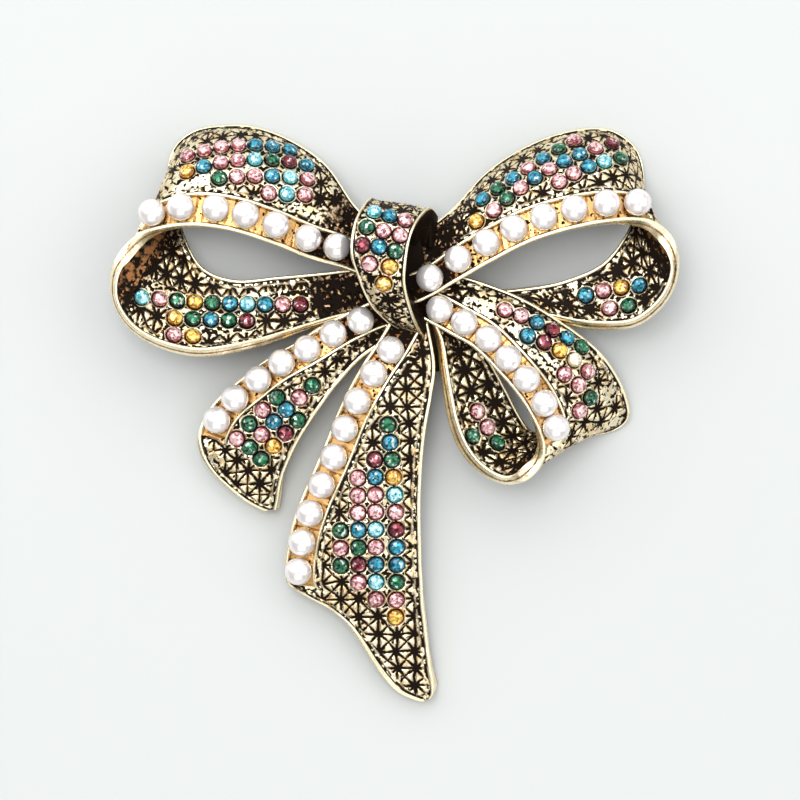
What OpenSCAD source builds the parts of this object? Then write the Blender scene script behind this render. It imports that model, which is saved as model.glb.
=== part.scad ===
// Bow brooch lying on its back: cast ribbon loops and tails round a knot, with pearls, cut stones and a pin.
// X runs to the bow's right, Y up the bow and Z out of its face, from the middle of its outline on the table.

/* [Bow] */
// Reach of the left loop from the knot's centre
left_reach = 30.1; // [29:0.1:31.5]
// Rise of the left loop above the knot's centre
left_rise = 15.4; // [14.8:0.1:16.2]
// Reach of the right loop from the knot's centre
right_reach = 31.6; // [30.5:0.1:33]
// Rise of the right loop above the knot's centre
right_rise = 15.2; // [14.6:0.1:16]
// Reach of the lower loop to the right of the knot's centre
lower_reach = 26.7; // [25.8:0.1:27.8]
// Drop of the lower loop below the knot's centre
lower_drop = 24.2; // [23.4:0.1:25.2]
// Height of the loops' front rims above the table
loop_depth = 8.5; // [8:0.1:9.2]
// Crown of a loop's band across its width
loop_crown = 2.3; // [2:0.05:2.5]

/* [Tails] */
// Reach of the left tail to the left of the knot's centre
left_tail_reach = 20.8; // [20:0.1:21.6]
// Drop of the left tail below the knot's centre
left_tail_drop = 27.3; // [26.4:0.1:28.4]
// Reach of the centre tail's corner to the left of the knot's centre
centre_tail_reach = 11.3; // [10.8:0.1:12]
// Drop of the centre tail below the knot's centre
centre_tail_drop = 48; // [46.5:0.1:49.5]
// Height of the tails' faces above the table where they leave the knot
tail_depth = 5.6; // [5.3:0.05:6]
// Crown of a tail across its width
tail_crown = 1.2; // [1:0.05:1.4]

/* [Knot] */
// Reach of the knot's sides from its centre
knot_reach = 5.5; // [5.2:0.05:5.9]
// Reach of the knot's ends from its centre
knot_rise = 14.2; // [13.8:0.1:14.7]
// Height of the knot's face above the table
knot_depth = 11.2; // [10.8:0.1:11.8]
// Crown of the knot across its width
knot_crown = 0.4; // [0.3:0.05:0.5]
// Width of the knot's raised rims
knot_rim = 0.28; // [0.2:0.02:0.32]
// Depth of the knot's side walls
knot_wall = 4; // [3.6:0.1:4.4]
// Splay of the knot's right side wall
knot_splay = 0.8; // [0.6:0.1:1]

/* [Metal] */
// Thickness of the loops' bands
band_wall = 1.1; // [0.95:0.05:1.25]
// Thickness of the tails
tail_wall = 1.6; // [1.4:0.05:1.8]
// Splay of the tails' side walls
tail_splay = 0.35; // [0.25:0.05:0.45]
// Width of the raised rims
rim_w = 0.35; // [0.3:0.05:0.4]
// Width of the ledge between the pearls' channel and the field of stones
ledge_w = 0.25; // [0.2:0.05:0.3]
// Height of the raised rims
rim_h = 0.2; // [0.15:0.01:0.25]
// Run of the slope at a rim's foot
rim_slope = 0.12; // [0.1:0.01:0.2]
// Depth of the pearls' channel
channel_depth = 0.35; // [0.28:0.01:0.4]
// Height above the table of the flat at the back of the knot
web_base = 2; // [1.9:0.05:2.3]

/* [Pearls] */
// Diameter of a pearl
pearl_d = 2.92; // [2.7:0.01:2.94]
// Height of a pearl's centre above its flat back, as a share of its diameter
pearl_seat = 0.35; // [0.32:0.01:0.38]
// Clearance between the pearls and the rims of their channel
pearl_clear = 0.1; // [0.08:0.01:0.12]
// Clearance under a pearl's flat back
seat_gap = 0.08; // [0.06:0.01:0.1]
// Height of the seat pads on the channel's floor
pad_h = 0.12; // [0.1:0.01:0.15]
// Diameter of the seat pads
pad_d = 1.6; // [1.4:0.05:1.8]

/* [Stones] */
// Width of a cut stone across its corners
stone_d = 1.56; // [1.4:0.01:1.62]
// Height of a cut stone
stone_h = 0.52; // [0.45:0.01:0.6]
// Height of a stone's girdle
girdle_h = 0.14; // [0.1:0.01:0.2]
// Width of a stone's table, as a share of its width
table_share = 0.56; // [0.5:0.01:0.62]
// Clearance between a stone's flat back and the face under it
stone_gap = 0.14; // [0.12:0.01:0.18]
// The same over the hollow side of a band
hollow_gap = 0.22; // [0.18:0.01:0.26]

/* [Pin] */
// Length of the pin's bar
bar_len = 27; // [25:0.5:28]
// Width of the pin's bar
bar_w = 2.4; // [2:0.1:2.8]
// Thickness of the pin's bar
bar_t = 0.6; // [0.5:0.05:0.7]
// Diameter of the pin's stem
stem_d = 0.8; // [0.7:0.05:0.9]
// Drop of the pin's bar below the knot's centre
bar_drop = 4; // [3.5:0.1:4.5]
// Clearance between the bar and the flat behind the knot
bar_gap = 0.08; // [0.05:0.01:0.12]
// Clearance between the stem and the table
stem_lift = 0.3; // [0.25:0.05:0.35]

/* [Hidden] */
// Place of the knot's centre in the brooch's outline
knot_place = [(left_reach - right_reach) / 2, (centre_tail_drop - left_rise) / 2, 0];

// Columns of every section table below, from the knot outwards: the front edge's place across, place up and
// height, the back edge's place across, place up and height, the crown, and 1 where the pearls' channel runs.
// All are shares: of the band's own reach, rise or drop, and of its depth and crown.
LEFT_LOOP = [
    [-0.022, -0.142, 0.75, -0.043, 0.276, 0.54, 0.13, 1],
    [-0.145, -0.035, 0.82, -0.13, 0.439, 0.42, 0.39, 1],
    [-0.275, 0.035, 0.89, -0.228, 0.715, 0.26, 0.7, 1],
    [-0.416, 0.142, 0.95, -0.355, 0.892, 0.12, 0.91, 1],
    [-0.565, 0.234, 0.99, -0.496, 0.991, 0.06, 1, 1],
    [-0.699, 0.269, 1, -0.626, 0.994, 0.04, 0.91, 1],
    [-0.815, 0.248, 0.99, -0.713, 0.952, 0.04, 0.57, 1],
    [-0.909, 0.184, 0.95, -0.775, 0.842, 0.05, -0.09, 1],
    [-0.989, 0, 0.92, -0.798, 0.658, 0.07, -0.39, 0],
    [-0.996, -0.248, 0.88, -0.793, 0.389, 0.12, -0.39, 0],
    [-0.931, -0.46, 0.85, -0.746, 0.149, 0.21, -0.13, 0],
    [-0.815, -0.595, 0.82, -0.67, -0.042, 0.31, 0.13, 0],
    [-0.666, -0.648, 0.8, -0.55, -0.12, 0.38, 0.22, 0],
    [-0.482, -0.584, 0.73, -0.391, -0.088, 0.41, 0.22, 0],
    [-0.301, -0.467, 0.58, -0.239, -0.05, 0.41, 0.17, 0],
    [-0.156, -0.375, 0.46, -0.13, -0.021, 0.39, 0.09, 0],
    [-0.047, -0.333, 0.39, -0.043, -0.021, 0.38, 0, 0],
];
RIGHT_LOOP = [
    [0.041, -0.316, 0.73, 0.031, 0.194, 0.54, 0.13, 1],
    [0.135, -0.244, 0.8, 0.131, 0.265, 0.46, 0.35, 1],
    [0.243, -0.115, 0.87, 0.228, 0.409, 0.32, 0.65, 1],
    [0.369, 0.032, 0.94, 0.352, 0.681, 0.15, 0.91, 1],
    [0.5, 0.165, 0.99, 0.493, 0.868, 0.07, 1, 1],
    [0.648, 0.258, 1, 0.635, 0.972, 0.04, 0.91, 1],
    [0.783, 0.305, 0.99, 0.759, 0.986, 0.04, 0.61, 1],
    [0.893, 0.301, 0.95, 0.842, 0.889, 0.05, 0.04, 1],
    [0.969, 0.201, 0.92, 0.876, 0.753, 0.07, -0.35, 0],
    [0.999, 0.036, 0.87, 0.883, 0.574, 0.12, -0.39, 0],
    [0.987, -0.151, 0.84, 0.869, 0.38, 0.21, -0.17, 0],
    [0.935, -0.323, 0.8, 0.824, 0.194, 0.32, 0.09, 0],
    [0.842, -0.448, 0.75, 0.738, 0, 0.4, 0.22, 0],
    [0.704, -0.459, 0.64, 0.617, -0.104, 0.42, 0.22, 0],
    [0.566, -0.409, 0.52, 0.49, -0.151, 0.4, 0.17, 0],
    [0.404, -0.337, 0.44, 0.352, -0.165, 0.38, 0.09, 0],
    [0.231, -0.273, 0.39, 0.214, -0.079, 0.36, 0, 0],
    [0.076, -0.222, 0.38, 0.076, -0.022, 0.36, 0, 0],
];
LOWER_LOOP = [
    [0.057, -0.203, 0.64, 0.131, 0.005, 0.54, 0.04, 1],
    [0.151, -0.252, 0.71, 0.253, -0.032, 0.58, 0.13, 1],
    [0.249, -0.311, 0.78, 0.392, -0.081, 0.6, 0.26, 1],
    [0.351, -0.378, 0.82, 0.551, -0.153, 0.61, 0.43, 1],
    [0.453, -0.491, 0.86, 0.723, -0.268, 0.58, 0.57, 1],
    [0.535, -0.599, 0.87, 0.861, -0.387, 0.45, 0.61, 1],
    [0.596, -0.712, 0.87, 0.943, -0.509, 0.28, 0.43, 1],
    [0.627, -0.815, 0.86, 0.984, -0.617, 0.15, 0.13, 1],
    [0.612, -0.905, 0.84, 0.988, -0.689, 0.08, -0.17, 0],
    [0.551, -0.971, 0.8, 0.931, -0.739, 0.05, -0.3, 0],
    [0.465, -0.984, 0.78, 0.816, -0.766, 0.06, -0.22, 0],
    [0.371, -0.932, 0.75, 0.686, -0.779, 0.12, 0, 0],
    [0.298, -0.842, 0.74, 0.588, -0.752, 0.21, 0.17, 0],
    [0.253, -0.725, 0.72, 0.531, -0.671, 0.31, 0.22, 0],
    [0.229, -0.599, 0.68, 0.482, -0.563, 0.36, 0.22, 0],
    [0.212, -0.473, 0.62, 0.425, -0.446, 0.4, 0.17, 0],
    [0.196, -0.347, 0.55, 0.351, -0.32, 0.41, 0.09, 0],
    [0.155, -0.239, 0.49, 0.253, -0.212, 0.41, 0, 0],
];
LEFT_TAIL = [
    [-0.052, -0.132, 0.88, 0.073, -0.252, 0.89, 0.17, 1],
    [-0.199, -0.184, 0.88, -0.01, -0.303, 0.89, 0.42, 1],
    [-0.346, -0.24, 0.84, -0.141, -0.375, 0.88, 0.67, 1],
    [-0.493, -0.311, 0.75, -0.257, -0.471, 0.86, 0.92, 1],
    [-0.645, -0.377, 0.64, -0.356, -0.571, 0.82, 1, 1],
    [-0.781, -0.457, 0.54, -0.43, -0.655, 0.73, 1, 1],
    [-0.918, -0.552, 0.45, -0.482, -0.723, 0.64, 1, 1],
    [-0.994, -0.656, 0.41, -0.519, -0.783, 0.57, 0.83, 1],
    [-0.997, -0.737, 0.39, -0.545, -0.83, 0.5, 0.58, 0],
    [-0.945, -0.813, 0.38, -0.561, -0.874, 0.45, 0.33, 0],
    [-0.86, -0.88, 0.36, -0.569, -0.91, 0.41, 0.17, 0],
    [-0.765, -0.939, 0.34, -0.576, -0.946, 0.38, 0.08, 0],
    [-0.66, -0.982, 0.32, -0.587, -0.978, 0.34, 0, 0],
];
CENTRE_TAIL = [
    [0.106, -0.089, 1, 0.376, -0.12, 1, 0, 1],
    [-0.082, -0.168, 1, 0.453, -0.225, 0.98, 0.25, 1],
    [-0.246, -0.226, 0.95, 0.424, -0.297, 0.96, 0.58, 1],
    [-0.381, -0.282, 0.86, 0.376, -0.359, 0.93, 0.92, 1],
    [-0.497, -0.339, 0.77, 0.342, -0.418, 0.88, 1, 1],
    [-0.603, -0.402, 0.71, 0.323, -0.477, 0.84, 1, 1],
    [-0.719, -0.466, 0.68, 0.313, -0.534, 0.8, 1, 1],
    [-0.834, -0.527, 0.62, 0.313, -0.588, 0.77, 1, 1],
    [-0.926, -0.588, 0.59, 0.318, -0.638, 0.73, 1, 1],
    [-0.974, -0.64, 0.54, 0.323, -0.684, 0.68, 0.92, 1],
    [-0.998, -0.688, 0.5, 0.333, -0.72, 0.64, 0.92, 1],
    [-0.979, -0.722, 0.48, 0.338, -0.752, 0.61, 0.75, 1],
    [-0.839, -0.747, 0.48, 0.347, -0.781, 0.57, 0.5, 0],
    [-0.598, -0.778, 0.46, 0.362, -0.808, 0.54, 0.42, 0],
    [-0.41, -0.815, 0.46, 0.376, -0.838, 0.5, 0.33, 0],
    [-0.275, -0.858, 0.45, 0.391, -0.867, 0.46, 0.25, 0],
    [-0.159, -0.902, 0.41, 0.405, -0.895, 0.45, 0.17, 0],
    [-0.043, -0.94, 0.38, 0.424, -0.926, 0.39, 0.08, 0],
    [0.087, -0.972, 0.32, 0.444, -0.956, 0.36, 0, 0],
    [0.241, -0.99, 0.29, 0.444, -0.976, 0.32, 0, 0],
    [0.323, -0.995, 0.28, 0.41, -0.988, 0.29, 0, 0],
];
KNOT = [
    [-0.238, 0.491, 0.32, 0.991, 0.376, 0.32, 0, 0],
    [-0.377, 0.499, 0.59, 0.852, 0.426, 0.55, 0.5, 0],
    [-0.505, 0.438, 0.82, 0.674, 0.365, 0.79, 0.75, 0],
    [-0.654, 0.322, 0.96, 0.525, 0.276, 0.92, 1, 0],
    [-0.723, 0.184, 1, 0.426, 0.169, 0.97, 1, 0],
    [-0.723, 0.054, 1, 0.367, 0.031, 0.99, 1, 0],
    [-0.614, -0.069, 0.96, 0.337, -0.123, 0.97, 1, 0],
    [-0.495, -0.192, 0.89, 0.396, -0.253, 0.91, 1, 0],
    [-0.317, -0.315, 0.79, 0.495, -0.376, 0.8, 0.75, 0],
    [-0.059, -0.415, 0.64, 0.604, -0.476, 0.67, 0.5, 0],
    [0.178, -0.476, 0.48, 0.713, -0.545, 0.5, 0, 0],
];

// A table's shares in millimetres
function scaled(table, across, up, deep, crown) = [
    for (r = table)
        [r[0] * across, r[1] * up, r[2] * deep, r[3] * across, r[4] * up, r[5] * deep, r[6] * crown, r[7]]
];

// A band: its rows, the side its face looks to (1 or -1), its thickness, the two sizes that its chart of
// stones is in shares of, the one for its pearls, and the rings drawn for each row.
left_loop = [scaled(LEFT_LOOP, left_reach, left_rise, loop_depth, loop_crown), -1, band_wall,
    [left_reach, left_rise], left_reach, 2];
right_loop = [scaled(RIGHT_LOOP, right_reach, right_rise, loop_depth, loop_crown), 1, band_wall,
    [right_reach, right_rise], right_reach, 2];
lower_loop = [scaled(LOWER_LOOP, lower_reach, lower_drop, loop_depth, loop_crown), 1, band_wall,
    [lower_reach, lower_drop], lower_drop, 2];
left_tail = [scaled(LEFT_TAIL, left_tail_reach, left_tail_drop, tail_depth, tail_crown), 1, tail_wall,
    [left_tail_reach, left_tail_drop], left_tail_drop, 1];
centre_tail = [scaled(CENTRE_TAIL, centre_tail_reach, centre_tail_drop, tail_depth, tail_crown), 1, tail_wall,
    [centre_tail_reach, centre_tail_drop], centre_tail_drop, 1];
knot_band = [scaled(KNOT, knot_reach, knot_rise, knot_depth, knot_crown), 1, knot_wall,
    [knot_reach, knot_rise], knot_rise, 2];
function band_rows(band) = band[0];
function band_side(band) = band[1];
function band_thickness(band) = band[2];
function chart_size(band) = band[3];
function pearl_reach(band) = band[4];
function band_steps(band) = band[5];
function band_end(band) = len(band_rows(band)) - 1;

// Each pearl's distance from the knot's centre, as shares of its band's reach or drop
LEFT_LOOP_PEARLS = [0.195, 0.303, 0.427, 0.543, 0.653, 0.774, 0.872];
RIGHT_LOOP_PEARLS = [0.150, 0.241, 0.344, 0.448, 0.557, 0.666, 0.778, 0.883];
LOWER_LOOP_PEARLS = [0.306, 0.430, 0.559, 0.683, 0.806, 0.937, 1.052];
LEFT_TAIL_PEARLS = [0.247, 0.351, 0.465, 0.577, 0.691, 0.812, 0.924];
CENTRE_TAIL_PEARLS = [0.193, 0.249, 0.317, 0.384, 0.453, 0.522, 0.591, 0.660, 0.726];

// Columns of every chart of stones: the first stone's place across and up, the last one's, the row's bow as a
// share of its length, and one letter a stone: blue, aqua, pink, wine, green, yellow or clear.
LEFT_LOOP_TOP = [
    [-0.725, 0.767, -0.357, 0.814, 0.074, "ppppbbb"],
    [-0.726, 0.655, -0.296, 0.704, 0.072, "ybppagwb"],
    [-0.608, 0.608, -0.291, 0.604, 0.028, "gppbap"],
    [-0.430, 0.502, -0.300, 0.492, 0, "pap"],
];
LEFT_LOOP_UNDER = [
    [-0.890, -0.233, -0.317, -0.284, -0.014, "apgygbabpw"],
    [-0.771, -0.380, -0.510, -0.400, 0, "ygbgw"],
    [-0.772, -0.500, -0.704, -0.508, 0, "py"],
];
RIGHT_LOOP_TOP = [
    [0.327, 0.467, 0.645, 0.897, 0.008, "bgbpbgp"],
    [0.365, 0.387, 0.775, 0.873, 0.060, "pgpbpbbpw"],
    [0.304, 0.307, 0.304, 0.307, 0, "y"],
    [0.589, 0.590, 0.803, 0.762, 0.055, "ppbag"],
];
RIGHT_LOOP_UNDER = [
    [0.683, -0.220, 0.867, -0.150, 0.030, "bpyb"],
    [0.764, -0.315, 0.829, -0.295, 0, "pg"],
];
LOWER_LOOP_TOP = [
    [0.477, -0.205, 0.790, -0.370, 0.030, "ppbwbg"],
    [0.569, -0.321, 0.814, -0.480, 0.055, "bwycp"],
    [0.719, -0.493, 0.824, -0.599, 0.040, "ppg"],
    [0.780, -0.657, 0.780, -0.657, 0, "p"],
];
LOWER_LOOP_UNDER = [
    [0.364, -0.661, 0.446, -0.804, 0, "ppg"],
    [0.343, -0.773, 0.343, -0.773, 0, "g"],
];
LEFT_TAIL_TOP = [
    [-0.580, -0.529, -0.793, -0.695, -0.028, "gpgp"],
    [-0.396, -0.482, -0.725, -0.729, -0.015, "gpbbpg"],
    [-0.473, -0.620, -0.667, -0.775, 0, "gwyg"],
];
CENTRE_TAIL_TOP = [
    [0, -0.363, 0.075, -0.801, 0.022, "gbgyapwbbgpy"],
    [-0.124, -0.442, -0.115, -0.760, 0, "wbppapbap"],
    [-0.289, -0.484, -0.282, -0.721, 0, "pppbgwp"],
    [-0.455, -0.604, -0.455, -0.684, 0, "gpg"],
];
KNOT_TOP = [
    [-0.266, 0.390, 0.335, 0.328, 0, "abp"],
    [-0.408, 0.278, 0.236, 0.215, 0, "gpp"],
    [-0.497, 0.137, 0.143, 0.094, 0.040, "wbg"],
    [-0.357, -0.002, 0.034, -0.025, 0, "py"],
    [-0.083, -0.154, -0.083, -0.154, 0, "y"],
];
STONE_COLOURS = [
    ["b", "#1f7fa6"], ["a", "#7cc4d6"], ["p", "#d98a97"], ["w", "#6d2231"],
    ["g", "#0f5a43"], ["y", "#dba53a"], ["c", "#efe6cf"],
];

// Columns of the solid web that joins the bands behind the knot: place across and up as shares of the knot's
// reach and rise, radius as a share of its reach, and top as a share of its height.
WEB = [
    [-0.30, 0.22, 0.22, 0.60],
    [-0.30, -0.05, 0.22, 0.60],
    [-0.20, -0.25, 0.22, 0.55],
    [0.05, -0.36, 0.22, 0.50],
    [0.46, -0.33, 0.22, 0.49],
    [0.58, -0.18, 0.22, 0.50],
    [0.50, 0.05, 0.22, 0.55],
    [0.40, 0.22, 0.22, 0.58],
];
// Columns of the core inside the knot, as above
CORE = [
    [-0.24, 0.24, 0.30, 0.86],
    [-0.24, 0.02, 0.30, 0.88],
    [0.06, -0.20, 0.26, 0.80],
    [0.08, 0.20, 0.26, 0.86],
];

du = 0.02;
dt = 0.01;
seek_turns = 5;
facets = 16;
big = 4 * (left_reach + right_reach);
table_d = table_share * stone_d;
pearl_lift = pad_h + seat_gap - channel_depth + pearl_seat * pearl_d;
pearl_waist = sqrt(pearl_d * pearl_d / 4 - (pearl_lift - rim_h) * (pearl_lift - rim_h));
pearl_run = rim_w + pearl_clear + pearl_waist;
channel_w = pearl_run + pearl_waist + pearl_clear + ledge_w;
narrowest = channel_w + 2 * (rim_w + rim_slope);

LOOPS = [["left_loop", left_loop, LEFT_LOOP_PEARLS], ["right_loop", right_loop, RIGHT_LOOP_PEARLS],
    ["lower_loop", lower_loop, LOWER_LOOP_PEARLS]];
TAILS = [["left_tail", left_tail, LEFT_TAIL_PEARLS], ["centre_tail", centre_tail, CENTRE_TAIL_PEARLS]];
STRINGS = concat(LOOPS, TAILS);
function pearl_node(string, i) = str("pearl_", string[0], "_", i + 1);

function unit(v) = v / norm(v);

// Smooth course through a table's rows at u, counted in rows
function row_at(rows, u) =
    let (
        last = len(rows) - 1,
        i = min(floor(max(u, 0)), last - 1),
        f = u - i,
        a = rows[max(i - 1, 0)],
        b = rows[i],
        c = rows[i + 1],
        d = rows[min(i + 2, last)]
    )
    0.5 * (2 * b + (c - a) * f + (2 * a - 5 * b + 4 * c - d) * f * f + (3 * b - a - 3 * c + d) * f * f * f);
function front_edge(q) = [q[0], q[1], q[2]];
function back_edge(q) = [q[3], q[4], q[5]];

// Direction out of a band's flat strip at u, before it is crowned
function strip_out(band, u) =
    let (
        rows = band_rows(band),
        q = row_at(rows, u),
        p = row_at(rows, max(u - du, 0)),
        r = row_at(rows, min(u + du, len(rows) - 1)),
        along = front_edge(r) + back_edge(r) - front_edge(p) - back_edge(p)
    )
    unit(band_side(band) * cross(along, back_edge(q) - front_edge(q)));

// Point of the crowned face at u along and t across the band
function crest(band, u, t) =
    let (q = row_at(band_rows(band), u))
    front_edge(q) * (1 - t) + back_edge(q) * t + 4 * q[6] * t * (1 - t) * strip_out(band, u);

// Outward direction of the crowned face there
function face_out(band, u, t) =
    unit(band_side(band) * cross(
        crest(band, min(u + du, band_end(band)), t) - crest(band, max(u - du, 0), t),
        crest(band, u, t + dt) - crest(band, u, t - dt)
    ));
function skin(band, u, t, h) = crest(band, u, t) + h * face_out(band, u, t);
function width_at(band, u) =
    let (q = row_at(band_rows(band), u)) norm(back_edge(q) - front_edge(q));

// Face of a band w wide, as distances from its front edge and heights: rim, pearls' channel, rim, field, rim.
// The channel fades out where g falls from 1 to 0, and a narrow end draws all of it in.
function face_section(w, g) =
    let (
        s = min(w / narrowest, 1),
        near = channel_w + rim_slope,
        far = w / s - rim_w - rim_slope,
        points = [
            [0, rim_h], [rim_w, rim_h],
            [rim_w + rim_slope, -channel_depth * g], [pearl_run, -channel_depth * g],
            [channel_w - ledge_w - rim_slope, -channel_depth * g],
            [channel_w - ledge_w, rim_h * g], [channel_w, rim_h * g],
            [near, 0], [near + (far - near) / 3, 0], [far - (far - near) / 3, 0],
            [far, 0], [far + rim_slope, rim_h], [w / s, rim_h],
        ]
    )
    [for (p = points) [p[0] * s, p[1]]];
function loop_section(w, g, wall) = concat(
    face_section(w, g),
    [
        [w, -wall - rim_h], [w - rim_w, -wall - rim_h], [w - rim_w - rim_slope, -wall],
        [w * 3 / 4, -wall], [w / 2, -wall], [w / 4, -wall],
        [rim_w + rim_slope, -wall], [rim_w, -wall - rim_h], [0, -wall - rim_h],
    ]
);
function tail_section(w, g, wall) = concat(
    face_section(w, g),
    [[w + tail_splay, -wall], [w / 2, -wall], [-tail_splay, -wall]]
);
function knot_section(w, wall) = [
    [0, rim_h], [knot_rim, rim_h], [knot_rim + rim_slope, 0], [w / 2, 0],
    [w - knot_rim - rim_slope, 0], [w - knot_rim, rim_h], [w, rim_h],
    [w + knot_splay, -wall], [w / 2, -wall], [0, -wall],
];

// Faces of a tube of n rings with k points each, whose first m points are its face: the sides, then two caps
// laid like rungs between the face and its back
function rung(i, k, m) = k - 1 - round(i * (k - m - 1) / (m - 1));
function cap(k, m) = [
    for (i = [0 : m - 2]) each concat(
        [[i, i + 1, rung(i, k, m)]],
        rung(i, k, m) == rung(i + 1, k, m) ? [] : [[i + 1, rung(i + 1, k, m), rung(i, k, m)]]
    )
];
function tube_faces(n, k, m) = concat(
    [for (i = [0 : n - 2], j = [0 : k - 1]) let (a = i * k + j, b = i * k + (j + 1) % k) [a, a + k, b]],
    [for (i = [0 : n - 2], j = [0 : k - 1]) let (a = i * k + j, b = i * k + (j + 1) % k) [b, a + k, b + k]],
    cap(k, m),
    [for (f = cap(k, m)) [for (p = [2, 1, 0]) f[p] + (n - 1) * k]]
);
function turned(faces) = [for (f = faces) [f[2], f[1], f[0]]];

// Solid swept along a band: one ring of section points for each station, of which the first face_count are face
module swept(band, rings, face_count) {
    points = [
        for (i = [0 : len(rings) - 1]) let (u = stations(band)[i], w = width_at(band, u))
            for (p = rings[i]) skin(band, u, p[0] / w, p[1])
    ];
    faces = tube_faces(len(rings), len(rings[0]), face_count);
    polyhedron(points, band_side(band) > 0 ? turned(faces) : faces);
}
function stations(band) = [for (i = [0 : band_end(band) * band_steps(band)]) i / band_steps(band)];
function channel_at(band, u) = min(max(row_at(band_rows(band), u)[7], 0), 1);

module loop_solid(band) {
    swept(
        band,
        [for (u = stations(band)) loop_section(width_at(band, u), channel_at(band, u), band_thickness(band))],
        13
    );
}

module tail_solid(band) {
    swept(
        band,
        [for (u = stations(band)) tail_section(width_at(band, u), channel_at(band, u), band_thickness(band))],
        13
    );
}

module knot_solid() {
    swept(
        knot_band,
        [for (u = stations(knot_band)) knot_section(width_at(knot_band, u), band_thickness(knot_band))],
        7
    );
}

// Turns what it holds to stand on a band's face, or behind it for side -1
module stand_on(band, u, t, h, side = 1) {
    p = skin(band, u, t, h);
    z = side * face_out(band, u, t);
    x = unit(cross([0, 1, 0], z));
    y = cross(z, x);
    multmatrix([
        [x[0], y[0], z[0], p[0]],
        [x[1], y[1], z[1], p[1]],
        [x[2], y[2], z[2], p[2]],
        [0, 0, 0, 1],
    ]) children();
}

// Where along a band a pearl's centre lies at this distance from the knot, seen from the front
function pearl_t(band, u) = pearl_run / max(width_at(band, u), narrowest);
function pearl_distance(band, u) =
    let (p = skin(band, u, pearl_t(band, u), pearl_lift)) norm([p[0], p[1]]);
function pearl_u(band, distance, low, high, turns = 12) =
    let (mid = (low + high) / 2)
    turns == 0 ? mid
        : pearl_distance(band, mid) < distance ? pearl_u(band, distance, mid, high, turns - 1)
        : pearl_u(band, distance, low, mid, turns - 1);
function channel_end(band) = max([for (i = [0 : band_end(band)]) band_rows(band)[i][7] == 1 ? i : 0]) + 0.5;
function pearl_places(string) = [
    for (share = string[2]) pearl_u(string[1], share * pearl_reach(string[1]), 0, channel_end(string[1]))
];

module seat_pads(string) {
    band = string[1];
    for (u = pearl_places(string))
        stand_on(band, u, pearl_t(band, u), -channel_depth)
            hull() {
                translate([0, 0, -pad_h]) cylinder(d = pad_d, h = pad_h, $fn = 8);
                translate([0, 0, -pad_h]) cylinder(d = pad_d - pad_h, h = 2 * pad_h, $fn = 8);
            }
}

module web_post(row) {
    translate([row[0] * knot_reach, row[1] * knot_rise, web_base])
        cylinder(r = row[2] * knot_reach, h = row[3] * knot_depth - web_base, $fn = facets);
}

// The web is filled behind the knot, so that no closed hollow is left between the bands
module web() {
    hull() for (row = WEB) web_post(row);
    hull() for (row = CORE) web_post(row);
}

// The whole bow is cast in one piece, and its back is ground flat where it would stand on the table
module bow_casting() {
    color("#b8975a") translate(knot_place) difference() {
        union() {
            for (s = LOOPS) loop_solid(s[1]);
            for (s = TAILS) tail_solid(s[1]);
            knot_solid();
            web();
            for (s = STRINGS) seat_pads(s);
        }
        translate([-big / 2, -big / 2, -big]) cube(big);
    }
}

module pearl(band, u) {
    color("#f3ece4") translate(knot_place)
        stand_on(band, u, pearl_t(band, u), pearl_lift)
            difference() {
                sphere(d = pearl_d, $fn = 48);
                translate([-pearl_d, -pearl_d, -pearl_seat * pearl_d - pearl_d])
                    cube([2 * pearl_d, 2 * pearl_d, pearl_d]);
            }
}

module stone() {
    hull() {
        cylinder(d = stone_d, h = girdle_h, $fn = 8);
        cylinder(d = table_d, h = stone_h, $fn = 8);
    }
}

// The place on a band's face, or on its back for side -1, that shows at this spot from the front
function back_step(band, side) = side > 0 ? 0 : -band_thickness(band);
function seek(band, side, spot, at, turns = seek_turns) =
    let (
        h = back_step(band, side),
        p = skin(band, at[0], at[1], h),
        a = (skin(band, at[0] + du, at[1], h) - p) / du,
        b = (skin(band, at[0], at[1] + dt, h) - p) / dt,
        e = [spot[0] - p[0], spot[1] - p[1]],
        det = a[0] * b[1] - a[1] * b[0],
        next = [
            min(max(at[0] + (e[0] * b[1] - e[1] * b[0]) / det, du), band_end(band) - 2 * du),
            min(max(at[1] + (a[0] * e[1] - a[1] * e[0]) / det, 0), 1),
        ]
    )
    turns == 0 ? at : seek(band, side, spot, next, turns - 1);
function off_spot(band, at, spot) =
    let (p = crest(band, at[0], at[1])) norm([p[0] - spot[0], p[1] - spot[1]]);
function nearest(band, tries, spot, i = 0) =
    i == len(tries) - 1 ? tries[i]
        : let (rest = nearest(band, tries, spot, i + 1))
            off_spot(band, tries[i], spot) < off_spot(band, rest, spot) ? tries[i] : rest;
function find(band, side, spot, from, to) =
    seek(band, side, spot, nearest(band, [for (u = [from : 1 : to], t = [0.3, 0.6, 0.85]) [u, t]], spot));

// The stones of one chart, on the stretch of a band between two rows
module stones(band, side, chart, from, to) {
    size = chart_size(band);
    for (row = chart) {
        first = [row[0] * size[0], row[1] * size[1]];
        last = [row[2] * size[0], row[3] * size[1]];
        run = last - first;
        count = len(row[5]);
        for (i = [0 : count - 1]) {
            f = count == 1 ? 0 : i / (count - 1);
            spot = first + f * run + 4 * f * (1 - f) * row[4] * [-run[1], run[0]];
            at = find(band, side, spot, from, to);
            color(STONE_COLOURS[search(row[5][i], STONE_COLOURS)[0]][1])
                stand_on(band, at[0], at[1], side > 0 ? stone_gap : back_step(band, side) - hollow_gap, side) stone();
        }
    }
}

// Fold rows split each loop into the stretch whose face shows and the stretch whose back shows
module stones_left_loop() {
    translate(knot_place) {
        stones(left_loop, 1, LEFT_LOOP_TOP, 0, 7);
        stones(left_loop, -1, LEFT_LOOP_UNDER, 10, 16);
    }
}

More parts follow.
